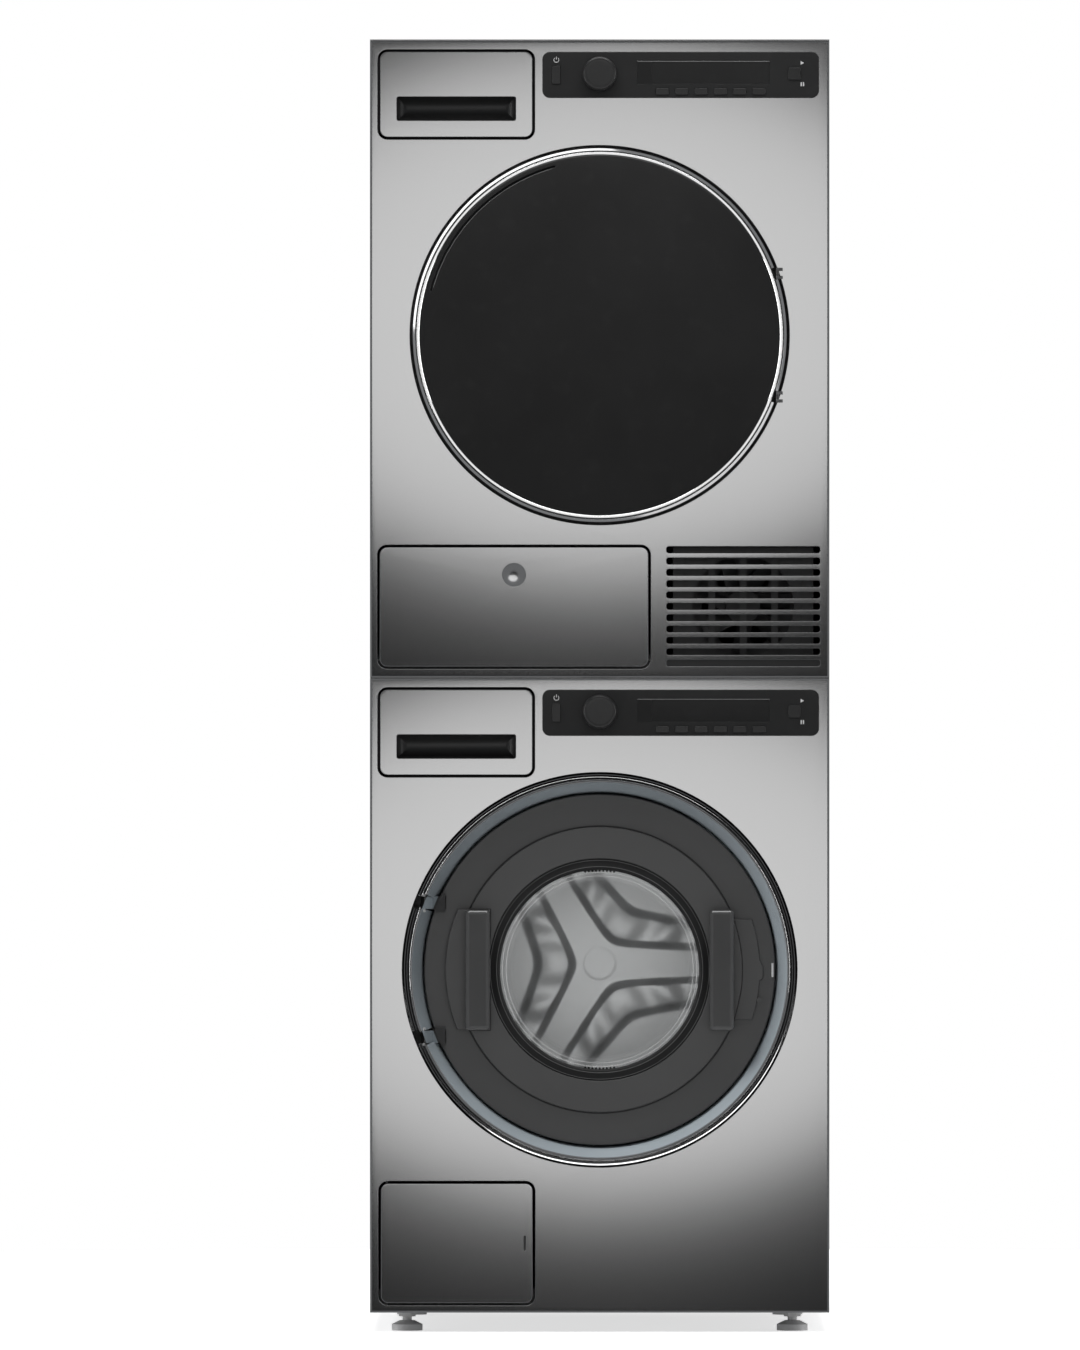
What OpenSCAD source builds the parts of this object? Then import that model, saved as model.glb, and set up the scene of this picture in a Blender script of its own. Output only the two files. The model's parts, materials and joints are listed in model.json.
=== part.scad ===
// Washer and tumble dryer of one width, stacked. Millimetres, +Z up, the doors face -Y.
// Most modules are drawn with y = 0 on the front panel's face and +y into the cabinet,
// and with z = 0 at the bottom of their own cabinet.

/* [Cabinets] */
// Width of both cabinets
body_w = 595; // [595:1:605]
// Depth of both cabinets, from front panel to rear cover
body_d = 624; // [620:1:640]
// Height of the washer cabinet
washer_h = 822; // [822:1:835]
// Height of the dryer cabinet
dryer_h = 827; // [827:1:840]
// Free height under the washer cabinet
foot_h = 25; // [22:1:32]
// Thickness of the casing sheet
sheet = 1.5; // [1.5:0.1:1.8]

/* [Doors] */
// Height of both door centres above their cabinet's bottom
door_z = 444; // [442:1:446]
// Radius of the washer's door disc
disc_r = 227.5; // [226.5:0.1:227.5]
// Radius of the washer's raised inner disc
raised_r = 185; // [180:1:188]
// Radius of the washer's visible glass
glass_r = 132; // [128:1:132]
// Outer radius of the dryer's chrome ring
ring_r = 242; // [241:0.5:242]
// Radius of the dryer's black door face
face_r = 233.6; // [230:0.1:234]

/* [Drums] */
// Outer radius of the washer drum
wash_drum_r = 240; // [236:1:242]
// Length of the washer drum
wash_drum_len = 368; // [350:1:368]
// Outer radius of the dryer drum
dry_drum_r = 262; // [258:1:262]
// Length of the dryer drum
dry_drum_len = 490; // [470:1:490]

/* [Controls] */
// Radius of the selector knob
knob_r = 22.3; // [20:0.1:23]
// How far the knob stands out of the front panel
knob_proud = 18; // [16:1:18]
// Number of keys under the display
key_count = 6; // [6:1:6]

/* [Air slots] */
// Number of air slots in the dryer's front
slot_count = 11; // [9:1:11]
// Height of one air slot
slot_h = 8.8; // [7:0.1:9.5]

/* [Hidden] */
$fn = 96;
eps = 0.01;
front_y = -body_d / 2;
half_w = body_w / 2;
inner_x = half_w - sheet;
washer_z = foot_h;
dryer_z = foot_h + washer_h;
rear_proud = 18;
inlet_r = 13.2;
drain_r = 11;
condensate_r = 8;
seam = 0.6;
return_d = 20;
edge_r = 3;
back_d = body_d - sheet;
washer_row = -4;

// Control row, measured above a cabinet's bottom
drawer_x = [-284.6, -87];
drawer_zz = [700.5, 811];
panel_x = [-74.3, 284.2];
panel_zz = [751, 811];
corner_r = 10;
gap = 2.5;
panel_lip = 1.2;
panel_rim = 2;
panel_back = 2.5;
box_d = 36;
knob_z = 782.3;
shaft_r = 4;
shaft_end = 14;
knob_back = -2.2;
run_fit = 0.05;
power_at = [-56, 781.05];
power_size = [10.5, 23.5];
start_at = [252.2, 782.5];
start_size = [15.7, 15.7];
key_x = 81.2;
key_pitch = 25.06;
key_z = 759.4;
key_size = [16.8, 8.3];
cap_front = -2.5;
window_x = [48.6, 220.3];
window_zz = [768.9, 798.9];

// Drawers
slot_x = [-262.9, -108.6];
slot_zz = [721.8, 752.9];
scoop_d = 24;
wall = 2;
front_back = 0.3;
tray_x = [-281, -90.6];
tray_zz = [703, 790];
tray_len = 213;
tank_len = 298;
compartment_low = 10;
housing_x = [-288, -83.5];
housing_zz = [696.5, 815];

// Lower flaps
flap_x = [-283.3, -86.8];
flap_zz = [12.7, 167.3];
flap_gap = 3;
flap_r = 9.4;
flap_axis = [-276, 3.5];
hatch_x = [-284.9, 63.1];
hatch_zz = [14.8, 169.4];
hatch_axis_z = 23;
pan_d = 8;
pin_r = 1.5;
pin_len = 5.5;
lug = 5;
dimple_at = [-111, 133.4];
dimple_r = 15;

// Air slots and fan
slots_x = [86.4, 285.5];
slots_z = 92.75;
slots_pitch = 14.67;
fan_x = 186;
fan_r = 62;
fan_hub_r = 22;
fan_d = [30, 52];
blade_count = 7;

// Washer door
cutout_r = 254;
lip_r = 247;
funnel_r = [243, 229.8];
funnel_d = [-1, 26];
bezel_t = 2;
bezel_front = -1.5;
bezel_back = 48;
bellows_r = 168;
disc_d = 20;
disc_t = 8;
raised_d = 14;
aperture_r = 144;
frame_r = 221;
frame_back = 42;
hinge_at = [-228.5, 4];
hinge_z = 87;
arm_h = 16;
arm_gap = 0.5;
arm_pin_r = 2;
knuckle_r = 3.6;
bump_x = [-214, -200];
bump_h = 25;
bar_x = [142, 174];
bar_half = 78;
bar_front = -10;
bar_t = 10;
foot_half = 62;
plate_r = [200, 207.8];

// Washer drum drive
tub_r = 258;
tub_t = 3;
tub_d = [70, 470];
drum_front = 80;
mouth_r = 160;
drum_t = 1.2;
wash_shaft_r = 15;
wash_pulley_r = 150;
wash_belt_d = [494, 508];
wash_motor = [130, 105];
wash_motor_r = 12;
motor_body_r = 55;
belt_t = 3;

// Dryer door and drum drive
dry_cutout_r = 246;
dry_hinge = [230.2, -2.8];
dry_barrel_r = 1.9;
dry_pin_r = 1;
dry_knuckle_h = 6;
dry_lug_h = 4;
dry_hinge_z = 80;
ring_front = -4;
dry_mouth_r = 198;
recess_back = 34;
dry_front = 77;
dry_shaft_r = 12;
dry_belt_d = [480, 488];
dry_motor = [190, 95];
dry_motor_r = 8;

// ---- Places -------------------------------------------------------------------------

module in_washer(row = 0) {
    translate([0, front_y, washer_z + row]) children();
}

module in_dryer() {
    translate([0, front_y, dryer_z]) children();
}

module at_door() {
    translate([0, 0, door_z]) children();
}

module both_cabinets() {
    in_washer() children();
    in_dryer() children();
}

module both_rows() {
    in_washer(washer_row) children();
    in_dryer() children();
}

// ---- Shapes -------------------------------------------------------------------------

// Rectangle with round corners, from two squares and four circles
module round_rect(x, y, r) {
    translate([x[0] + r, y[0]]) square([x[1] - x[0] - 2 * r, y[1] - y[0]]);
    translate([x[0], y[0] + r]) square([x[1] - x[0], y[1] - y[0] - 2 * r]);
    for (cx = [x[0] + r, x[1] - r], cy = [y[0] + r, y[1] - r])
        translate([cx, cy]) circle(r);
}

// Upright plate: its outline lies in X and Z, and it runs from depth d[0] to d[1]
module plate(d) {
    translate([0, d[1], 0]) rotate([90, 0, 0]) linear_extrude(d[1] - d[0]) children();
}

// Plain block between two corners
module block(x, d, z) {
    translate([x[0], d[0], z[0]]) cube([x[1] - x[0], d[1] - d[0], z[1] - z[0]]);
}

// Turned shape about the Y axis, from points of [radius, depth]
module turned(points, angle = 360) {
    rotate([-90, 0, 0]) rotate_extrude(angle = angle) polygon(points);
}

// Round bar along Y
module bar_y(r, d) {
    translate([0, d[0], 0]) rotate([-90, 0, 0]) cylinder(r = r, h = d[1] - d[0]);
}

// Ring along Y
module ring_y(r, d) {
    turned([[r[0], d[0]], [r[1], d[0]], [r[1], d[1]], [r[0], d[1]]]);
}

// Open-topped or closed box: outer block less an inner one
module hollow(x, d, z, t, open_d = 0, open_z = 0) {
    difference() {
        block(x, d, z);
        block([x[0] + t, x[1] - t], [d[0] + t - open_d, d[1] - t], [z[0] + t, z[1] - t + open_z]);
    }
}

function grown(span, by) = [span[0] - by, span[1] + by];

function around(middle, size) = [middle - size / 2, middle + size / 2];

// ---- Casing -------------------------------------------------------------------------

module base_pan() {
    difference() {
        block([-inner_x, inner_x], [return_d, back_d], [0, 30]);
        block([-inner_x + sheet, inner_x - sheet], [return_d + sheet, back_d - sheet], [sheet, 31]);
        foot_places() cylinder(r = 6 + run_fit, h = 10, center = true);
    }
}

module foot_places() {
    for (x = [-250, 250], d = [60, 560]) translate([x, d, 0]) children();
}

module top_rails() {
    front_h = 10;
    spring_rail_h = 22;
    block([-inner_x, inner_x], [return_d, 40], [washer_h - front_h, washer_h - sheet]);
    for (d = [[284, 304], [600, back_d]])
        block([-inner_x, inner_x], d, [washer_h - spring_rail_h, washer_h - sheet]);
}

module base_frames() {
    color("slategray") {
        both_cabinets() base_pan();
        in_washer() top_rails();
    }
}

module feet() {
    pad_r = 20;
    stem_r = 6;
    nut_r = 11;
    color("dimgray") in_washer() foot_places() {
        translate([0, 0, -foot_h]) cylinder(r = pad_r, h = 8);
        translate([0, 0, -foot_h + 8]) cylinder(r1 = pad_r, r2 = stem_r + 4, h = 5);
        translate([0, 0, -foot_h + 12]) cylinder(r = stem_r, h = foot_h + 20);
        translate([0, 0, -7]) cylinder(r = nut_r, h = 7, $fn = 6);
    }
}

module side_panel(h) {
    block([inner_x, half_w], [return_d, back_d], [0, h]);
    block([inner_x - 12, inner_x], [back_d - sheet, back_d], [31, h - 24]);
}

module side_panels() {
    color("silver") for (side = [0, 1]) mirror([side, 0, 0]) {
        in_washer() side_panel(washer_h - seam);
        in_dryer() side_panel(dryer_h - sheet);
    }
}

module rear_cover(h) {
    louvre_h = 5;
    difference() {
        block([-half_w, half_w], [back_d, body_d], [0, h]);
        for (x = [-150, 150], i = [0:7])
            plate([back_d - 1, body_d + 1])
                round_rect(around(x, 120), around(h - 260 + 14 * i, louvre_h), 2);
    }
}

module rear_covers() {
    color("gainsboro") {
        in_washer() rear_cover(washer_h - seam);
        in_dryer() rear_cover(dryer_h - sheet);
    }
}

// Hollow hose spigot outside the rear cover, with its valve body inside
module spigot(at, r) {
    spigot_t = 3;
    translate([at[0], 0, at[1]]) {
        ring_y([r - spigot_t, r], [body_d, body_d + rear_proud]);
        bar_y(r + 6, [back_d - 24, back_d]);
    }
}

module terminal_box() {
    plate([body_d, body_d + 14]) round_rect(around(254, 60), around(640, 50), 6);
    translate([254, body_d + 8, 605]) cylinder(r = 5.5, h = 12);
}

module rear_connections() {
    color("darkslategray") {
        in_washer() {
            for (x = [190, 240]) spigot([x, 740], inlet_r);
            spigot([-250, 700], drain_r);
        }
        in_dryer() spigot([-210, 90], condensate_r);
        both_cabinets() terminal_box();
    }
}

// Tray-shaped front panel with bent sides and flanges, open at the back
module panel_body(h) {
    module plan(side, r) {
        translate([-half_w + side, side + r]) square([body_w - 2 * side, return_d - side - r]);
        translate([-half_w + side + r, side]) square([body_w - 2 * side - 2 * r, r + eps]);
        for (s = [-1, 1]) translate([s * (half_w - side - r), side + r]) circle(r);
    }
    difference() {
        linear_extrude(h) plan(0, edge_r);
        translate([0, 0, sheet]) linear_extrude(h - 2 * sheet) union() {
            plan(sheet, edge_r - sheet);
            translate([-inner_x, return_d - 1]) square([2 * inner_x, 2]);
        }
    }
}

module row_cutouts(row) {
    translate([0, 0, row]) plate([-1, sheet + 1]) {
        round_rect(grown(drawer_x, gap), grown(drawer_zz, gap), corner_r + gap);
        round_rect(grown(panel_x, -panel_rim), grown(panel_zz, -panel_rim), corner_r - panel_rim);
    }
}

module washer_front_panel() {
    color("silver") in_washer() {
        difference() {
            panel_body(washer_h);
            row_cutouts(washer_row);
            at_door() bar_y(cutout_r, [-1, sheet + 1]);
            plate([-1, sheet + 1])
                round_rect(grown(flap_x, flap_gap), grown(flap_zz, flap_gap), flap_r + flap_gap);
        }
        for (z = [flap_zz[1] + flap_gap, flap_zz[0] - flap_gap - lug]) difference() {
            block(around(flap_axis[0], 8), [sheet, sheet + 5], [z, z + lug]);
            translate([flap_axis[0], flap_axis[1], z - 1]) cylinder(r = pin_r + run_fit, h = lug + 2);
        }
    }
}

module air_slots() {
    for (i = [0:slot_count - 1])
        plate([-1, sheet + 1])
            round_rect(slots_x, around(slots_z + (i - (slot_count - 1) / 2) * slots_pitch, slot_h), 2.5);
}

module dryer_front_panel() {
    color("silver") in_dryer() {
        difference() {
            panel_body(dryer_h - sheet);
            row_cutouts(0);
            at_door() bar_y(dry_cutout_r, [-1, sheet + 1]);
            plate([-1, sheet + 1])
                round_rect(grown(hatch_x, gap), grown(hatch_zz, gap), corner_r + gap);
            air_slots();
        }
        for (x = [hatch_x[1] + gap, hatch_x[0] - gap - lug]) difference() {
            block([x, x + lug], [sheet, sheet + 5], around(hatch_axis_z, 8));
            translate([x - 1, flap_axis[1], hatch_axis_z])
                rotate([0, 90, 0]) cylinder(r = pin_r + run_fit, h = lug + 2);
        }
    }
}

module dryer_top_cover() {
    skirt = 12;
    color("silver") in_dryer() {
        block([-half_w, half_w], [0, body_d], [dryer_h - sheet, dryer_h]);
        for (side = [0, 1]) mirror([side, 0, 0])
            block([inner_x - wall, inner_x], [return_d, back_d - sheet], [dryer_h - skirt, dryer_h - sheet]);
    }
}

// ---- Control panels -----------------------------------------------------------------

module controls_outline(grow) {
    round_rect(grown(around(power_at[0], power_size[0]), grow),
               grown(around(power_at[1], power_size[1]), grow), 2);
    round_rect(grown(around(start_at[0], start_size[0]), grow),
               grown(around(start_at[1], start_size[1]), grow), 2);
    for (i = [0:key_count - 1])
        round_rect(grown(around(key_x + i * key_pitch, key_size[0]), grow),
                   grown(around(key_z, key_size[1]), grow), 1.5);
}

module control_panel() {
    inside_x = grown(panel_x, -panel_rim - 0.2);
    inside_z = grown(panel_zz, -panel_rim - 0.2);
    difference() {
        union() {
            plate([-panel_lip, 0]) round_rect(panel_x, panel_zz, corner_r);
            plate([0, panel_back]) round_rect(inside_x, inside_z, corner_r - panel_rim - 0.2);
            translate([0, 0, knob_z]) bar_y(2 * shaft_r, [panel_back, shaft_end - 2]);
        }
        plate([-panel_lip - 1, panel_back + 1]) {
            controls_outline(0.3);
            translate([window_x[0], window_zz[0]])
                square([window_x[1] - window_x[0], window_zz[1] - window_zz[0]]);
        }
        translate([0, 0, knob_z]) bar_y(shaft_r + run_fit, [-panel_lip - 1, shaft_end]);
    }
    difference() {
        block(grown(panel_x, wall), [sheet, box_d], grown(panel_zz, wall));
        block(panel_x, [sheet - 1, box_d - wall], panel_zz);
    }
    block(panel_x, [25, 26.6], panel_zz);
}

module control_panels() {
    color("black") both_rows() control_panel();
}

module display_windows() {
    color("darkslategray") both_rows()
        block(window_x, [-panel_lip, panel_back], window_zz);
}

module knob() {
    bevel = 2.5;
    translate([0, 0, knob_z]) {
        turned([[0, -knob_proud], [knob_r - bevel, -knob_proud], [knob_r, -knob_proud + bevel],
                [knob_r, knob_back], [0, knob_back]]);
        bar_y(shaft_r, [knob_back - eps, shaft_end]);
    }
}

// Button cap with a wider back that keeps it in its hole
module button(at, size) {
    plate([cap_front, panel_back + 0.2]) round_rect(around(at[0], size[0]), around(at[1], size[1]), 1.5);
    block(around(at[0], size[0] + 3), [panel_back + 0.2, panel_back + 1.7], around(at[1], size[1] - 1));
    translate([at[0], 0, at[1]]) bar_y(2, [panel_back + 1.7, 20]);
}

module key(i) {
    button([key_x + (i - 1) * key_pitch, key_z], key_size);
}

module washer_knob() { color("black") in_washer(washer_row) knob(); }
module dryer_knob() { color("black") in_dryer() knob(); }
module washer_power_button() { color("black") in_washer(washer_row) button(power_at, power_size); }
module dryer_power_button() { color("black") in_dryer() button(power_at, power_size); }
module washer_start_button() { color("black") in_washer(washer_row) button(start_at, start_size); }
module dryer_start_button() { color("black") in_dryer() button(start_at, start_size); }
module washer_key(i) { color("black") in_washer(washer_row) key(i); }
module dryer_key(i) { color("black") in_dryer() key(i); }

// ---- Drawers ------------------------------------------------------------------------

module drawer_front() {
    slot_r = 2.5;
    difference() {
        plate([-panel_lip, front_back]) round_rect(drawer_x, drawer_zz, corner_r);
        plate([-panel_lip - 1, 1]) round_rect(slot_x, slot_zz, slot_r);
    }
    difference() {
        block(grown(slot_x, 6), [front_back, scoop_d], grown(slot_zz, 6));
        plate([front_back - 1, front_back + 6]) round_rect(slot_x, slot_zz, slot_r);
        translate([slot_x[0] + 2, front_back + 4, slot_zz[1] - 15])
            rotate([0, 90, 0]) cylinder(r = 15, h = slot_x[1] - slot_x[0] - 4);
    }
}

module detergent_drawer_front() { color("silver") in_washer(washer_row) drawer_front(); }
module tank_drawer_front() { color("silver") in_dryer() drawer_front(); }

module tray_box(len) {
    hollow(tray_x, [scoop_d, scoop_d + len], tray_zz, wall, 0, compartment_low);
}

module detergent_tray() {
    color("whitesmoke") in_washer(washer_row) {
        tray_box(tray_len);
        for (x = [-220, -150])
            block([x, x + wall], [scoop_d + wall, scoop_d + tray_len - wall],
                  [tray_zz[0] + wall, tray_zz[1] - compartment_low]);
    }
}

module water_tank() {
    spout_r = 14;
    color("whitesmoke") in_dryer() difference() {
        hollow(tray_x, [scoop_d, scoop_d + tank_len], tray_zz, wall);
        translate([-186, 280, 780]) cylinder(r = spout_r, h = 20);
    }
}

module housing(len) {
    hollow(housing_x, [sheet, sheet + len], housing_zz, wall, wall + 1);
}

module drawer_housings() {
    color("lightgray") {
        in_washer(washer_row) housing(246);
        in_dryer() housing(331);
    }
}

// ---- Washer flap and pump -----------------------------------------------------------

module service_flap() {
    color("silver") in_washer() {
        difference() {
            union() {
                plate([-panel_lip, front_back]) round_rect(flap_x, flap_zz, flap_r);
                difference() {
                    block(grown(flap_x, -4), [front_back, pan_d], grown(flap_zz, -4));
                    block(grown(flap_x, -10), [front_back + wall, pan_d + 1], grown(flap_zz, -6));
                }
            }
            plate([-panel_lip - 1, pan_d + 1]) coin_slot();
        }
        for (z = [flap_zz[1] - 8, flap_zz[0] - pin_len])
            translate([flap_axis[0], flap_axis[1], z]) cylinder(r = pin_r, h = pin_len + 8);
    }
}

module coin_slot() {
    round_rect(around(-97.1, 2.8), around(89, 19), 1.3);
}

module drain_pump() {
    pump_at = [-185, 85];
    color("dimgray") in_washer() translate([pump_at[0], 0, pump_at[1]]) {
        bar_y(38, [24, 120]);
        bar_y(33, [16, 24]);
        block([-28, 28], [11, 16], [-5, 5]);
        bar_y(26, [120, 165]);
        block([-30, 30], [60, 100], [sheet - pump_at[1], -30]);
    }
}

// ---- Washer door --------------------------------------------------------------------

// Upper and lower copies at the hinge heights
module at_hinges(height = hinge_z) {
    for (z = [-height, height]) translate([0, 0, z]) children();
}

module funnel_ring() {
    turned([[funnel_r[0], funnel_d[0]], [funnel_r[0] + bezel_t, bezel_front],
            [lip_r, bezel_front], [lip_r, 4], [lip_r - bezel_t, 4],
            [funnel_r[1] + bezel_t, funnel_d[1]], [funnel_r[1], funnel_d[1]]]);
}

module hinge_notch() {
    block([-270, -206], [-5, frame_back + 2], around(0, arm_h + 2 * arm_gap));
}

module washer_door_bezel() {
    color("lightsteelblue") in_washer() at_door() {
        difference() {
            union() {
                funnel_ring();
                ring_y([funnel_r[1], funnel_r[1] + bezel_t], [funnel_d[1], bezel_back]);
                ring_y([bellows_r, funnel_r[1] + bezel_t], [bezel_back - bezel_t, bezel_back]);
                ring_y([lip_r - bezel_t, cutout_r + 8], [4, 6]);
                ring_y([cutout_r + 3, cutout_r + 8], [sheet, 4]);
            }
            at_hinges() hinge_notch();
            block([208, 227], [bezel_back - 4, bezel_back + 1], [-12, 12]);
        }
        at_hinges() translate([hinge_at[0], hinge_at[1], 0]) {
            for (s = [-1, 1]) translate([-6, 0, s * (arm_h / 2 + arm_gap + 2) - 2])
                cube([9, 4, 4]);
            translate([0, 0, -arm_h / 2 - 3]) cylinder(r = arm_pin_r, h = arm_h + 6);
        }
    }
}

module door_bellows() {
    lip_in = 134;
    color("dimgray") in_washer() at_door() turned([
        [bellows_r, bezel_back], [bellows_r + 10, bezel_back], [bellows_r + 10, bezel_back + 3],
        [bellows_r + 4, bezel_back + 3], [bellows_r + 4, 58], [bellows_r + 12, 62],
        [bellows_r + 12, 70], [bellows_r, 70], [bellows_r, 66], [bellows_r - 8, 60],
        [lip_in, 58], [lip_in, 55], [bellows_r - 8, 56]]);
}

// Outline of the left grip plate, which cuts into the raised disc
module left_plate() {
    difference() {
        intersection() {
            circle(plate_r[0]);
            translate([-plate_r[0], -bar_half]) square([plate_r[0] - bar_x[0], 2 * bar_half]);
        }
        circle(aperture_r);
    }
}

module washer_door_disc() {
    color("dimgray") in_washer() at_door() difference() {
        union() {
            ring_y([aperture_r, disc_r], [disc_d, disc_d + disc_t]);
            turned([[aperture_r, raised_d + 2], [aperture_r + 2, raised_d], [raised_r - 1, raised_d],
                    [raised_r, raised_d + 1], [raised_r, disc_d], [aperture_r, disc_d]]);
        }
        plate([raised_d - 1, disc_d]) left_plate();
        at_hinges() block([-240, bump_x[1]], [0, 60], around(0, arm_h + 0.4));
    }
}

module washer_door_gasket() {
    color("black") in_washer() at_door() turned([
        [glass_r - 3, disc_d - 1], [glass_r + 2, disc_d - 4], [aperture_r, disc_d - 3],
        [aperture_r, disc_d + disc_t], [glass_r, disc_d + disc_t], [glass_r, disc_d + 6],
        [glass_r - 3, disc_d + 6]]);
}

module washer_door_glass() {
    glass_t = 5;
    bowl_d = 94;
    bowl_r = 112;
    color("lightcyan", 0.4) in_washer() at_door() turned([
        [glass_r - glass_t, 26], [glass_r, 26], [glass_r - 2, 70], [bowl_r + 8, bowl_d - 4],
        [bowl_r, bowl_d], [0, bowl_d], [0, bowl_d - glass_t], [bowl_r - 2, bowl_d - glass_t],
        [glass_r - glass_t - 2, 68]]);
}

// Upright grip with a foot at each end and room for fingers behind it
module grip_bar(side) {
    span = side > 0 ? bar_x : [-bar_x[1], -bar_x[0]];
    base = side > 0 ? raised_d : disc_d - 8;
    plate([bar_front, bar_front + bar_t]) round_rect(span, [-bar_half, bar_half], 3);
    for (z = [[-bar_half, -foot_half], [foot_half, bar_half]])
        block(grown(span, -4), [bar_front + bar_t, base], z);
}

module washer_door_handles() {
    color("dimgray") in_washer() at_door() {
        grip_bar(1);
        grip_bar(-1);
        plate([disc_d - 8, disc_d]) left_plate();
        plate([disc_d - 4, disc_d]) difference() {
            intersection() {
                circle(plate_r[1]);
                translate([bar_x[0], -65]) square([plate_r[1], 130]);
            }
            circle(raised_r);
        }
        block([plate_r[1] - 3, 212], [disc_d - 5, disc_d], [-14, 13]);
    }
}

// Plan of one hinge arm: its front fills the ring's notch, and its back carries the frame
module arm_plan() {
    front = bezel_front;
    bump_front = disc_d - 3;
    back = frame_back - 1;
    difference() {
        union() {
            polygon([[-lip_r + 16, front], [-lip_r + 20, front], [bump_x[0] - 2.5, bump_front],
                     [bump_x[1] - 1, bump_front], [bump_x[1] - 1, back], [-224, back],
                     [-230, back - 11], [hinge_at[0] - knuckle_r, hinge_at[1]]]);
            translate(hinge_at) circle(knuckle_r);
        }
        translate(hinge_at) circle(arm_pin_r + run_fit);
    }
}

module washer_door_frame() {
    hook_x = [211, 217];
    hook_end = 66;
    color("gray") in_washer() at_door() {
        ring_y([glass_r + 2, frame_r], [disc_d + disc_t, frame_back]);
        at_hinges() translate([0, 0, -arm_h / 2]) linear_extrude(arm_h) arm_plan();
        block(hook_x, [frame_back - 2, hook_end], [-8, 8]);
        block([hook_x[0], hook_x[1] + 4], [hook_end - 6, hook_end], [-8, 8]);
        for (s = [-1, 1]) intersection() {
            bar_y(disc_r, [disc_d - 4, disc_d]);
            block(bump_x, [disc_d - 4, disc_d], around(s * hinge_z, bump_h));
        }
    }
}

// ---- Washer tub, drum and drive -----------------------------------------------------

module washer_tub() {
    hub_d = [454, 488];
    color("darkgray") in_washer() at_door() {
        turned([[bellows_r, tub_d[0]], [tub_r, tub_d[0]], [tub_r, tub_d[1]], [34, tub_d[1]],
                [34, hub_d[1]], [wash_shaft_r + run_fit, hub_d[1]], [wash_shaft_r + run_fit, hub_d[0]],
                [34, hub_d[0]], [34, tub_d[1] - tub_t], [tub_r - tub_t, tub_d[1] - tub_t],
                [tub_r - tub_t, tub_d[0] + tub_t], [bellows_r, tub_d[0] + tub_t]]);
        for (turn = [20, 200]) rotate([0, turn, 0])
            turned([[bellows_r + 18, 52], [tub_r - 8, 52], [tub_r - 8, tub_d[0]],
                    [bellows_r + 18, tub_d[0]]], 140);
    }
}

// Coil spring along Z, its wire turned round a circle
module coil(radius, wire_r, height, turns) {
    linear_extrude(height, twist = -360 * turns, slices = 12 * turns, segments = 6)
        translate([radius, 0]) circle(wire_r, $fn = 6);
}

module suspension() {
    spring_top = washer_h - 22;
    spring_base = 663;
    damper_top = 246;
    color("slategray") in_washer() {
        for (x = [-150, 150]) translate([x, 294, spring_base + 4]) {
            coil(12, 2.5, spring_top - spring_base - 8, 5);
            translate([0, 0, spring_top - spring_base - 10]) cylinder(r = 16, h = 6);
            translate([0, 0, -2]) cylinder(r = 16, h = 6);
        }
        for (x = [-172, 172]) translate([x, 270, sheet]) {
            cylinder(r = 12, h = 150);
            cylinder(r = 5, h = damper_top - sheet);
        }
    }
}

// Three arms of the drum's star, each a raised channel that turns through a blunt corner
module star(width) {
    arm_len = 200;
    bend = 58;
    intersection() {
        circle(wash_drum_r - 22);
        for (turn = [60, 180, 300]) rotate(turn) for (side = [0, 1]) mirror([0, side, 0])
            translate([bend, 0]) rotate(60) translate([-width / 4, -width / 2])
                square([arm_len, width]);
    }
}

module washer_drum() {
    back = drum_front + wash_drum_len;
    color("silver") in_washer() at_door() {
        turned([[mouth_r, drum_front], [wash_drum_r, drum_front], [wash_drum_r, back],
                [0, back], [0, back - drum_t], [wash_drum_r - drum_t, back - drum_t],
                [wash_drum_r - drum_t, drum_front + drum_t], [mouth_r, drum_front + drum_t]]);
        plate([back - drum_t - 10, back - drum_t]) star(44);
        bar_y(20, [back - drum_t - 6, back - drum_t]);
    }
}

// Paddle along the drum's inside, wider where it meets the wall
module lifter(drum_radius, reach, d) {
    inner = drum_radius - reach;
    plate(d) intersection() {
        circle(drum_radius);
        polygon([[inner, -12], [inner, 12], [drum_radius + 4, 30], [drum_radius + 4, -30]]);
    }
}

module washer_drum_lifters() {
    color("gainsboro") in_washer() at_door()
        for (turn = [0, 120, 240]) rotate([0, turn, 0])
            lifter(wash_drum_r - drum_t, 55, [drum_front + 30, drum_front + wash_drum_len - 30]);
}

module washer_drum_pulley() {
    back = drum_front + wash_drum_len;
    color("darkgray") in_washer() at_door() {
        bar_y(wash_shaft_r, [back, wash_belt_d[1] + 6]);
        difference() {
            ring_y([wash_shaft_r, wash_pulley_r], wash_belt_d);
            for (turn = [0:60:300]) rotate([0, turn, 0])
                translate([90, 0, 0]) bar_y(32, grown(wash_belt_d, 1));
        }
    }
}

module washer_motor_pulley() {
    color("darkgray") in_washer() translate([wash_motor[0], 0, wash_motor[1]]) {
        bar_y(wash_motor_r, wash_belt_d);
        bar_y(6, [470, wash_belt_d[0]]);
    }
}

module motor(at, d, shaft_d) {
    difference() {
        union() {
            translate([at[0], 0, at[1]]) bar_y(motor_body_r, d);
            block(around(at[0], 60), grown(d, -20), [sheet, at[1] - 40]);
        }
        translate([at[0], 0, at[1]]) bar_y(6 + run_fit, [shaft_d, d[1] + 1]);
    }
}

module drive_motors() {
    color("dimgray") {
        in_washer() motor(wash_motor, [340, 486], 468);
        in_dryer() motor(dry_motor, [340, 472], 448);
    }
}

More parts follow.
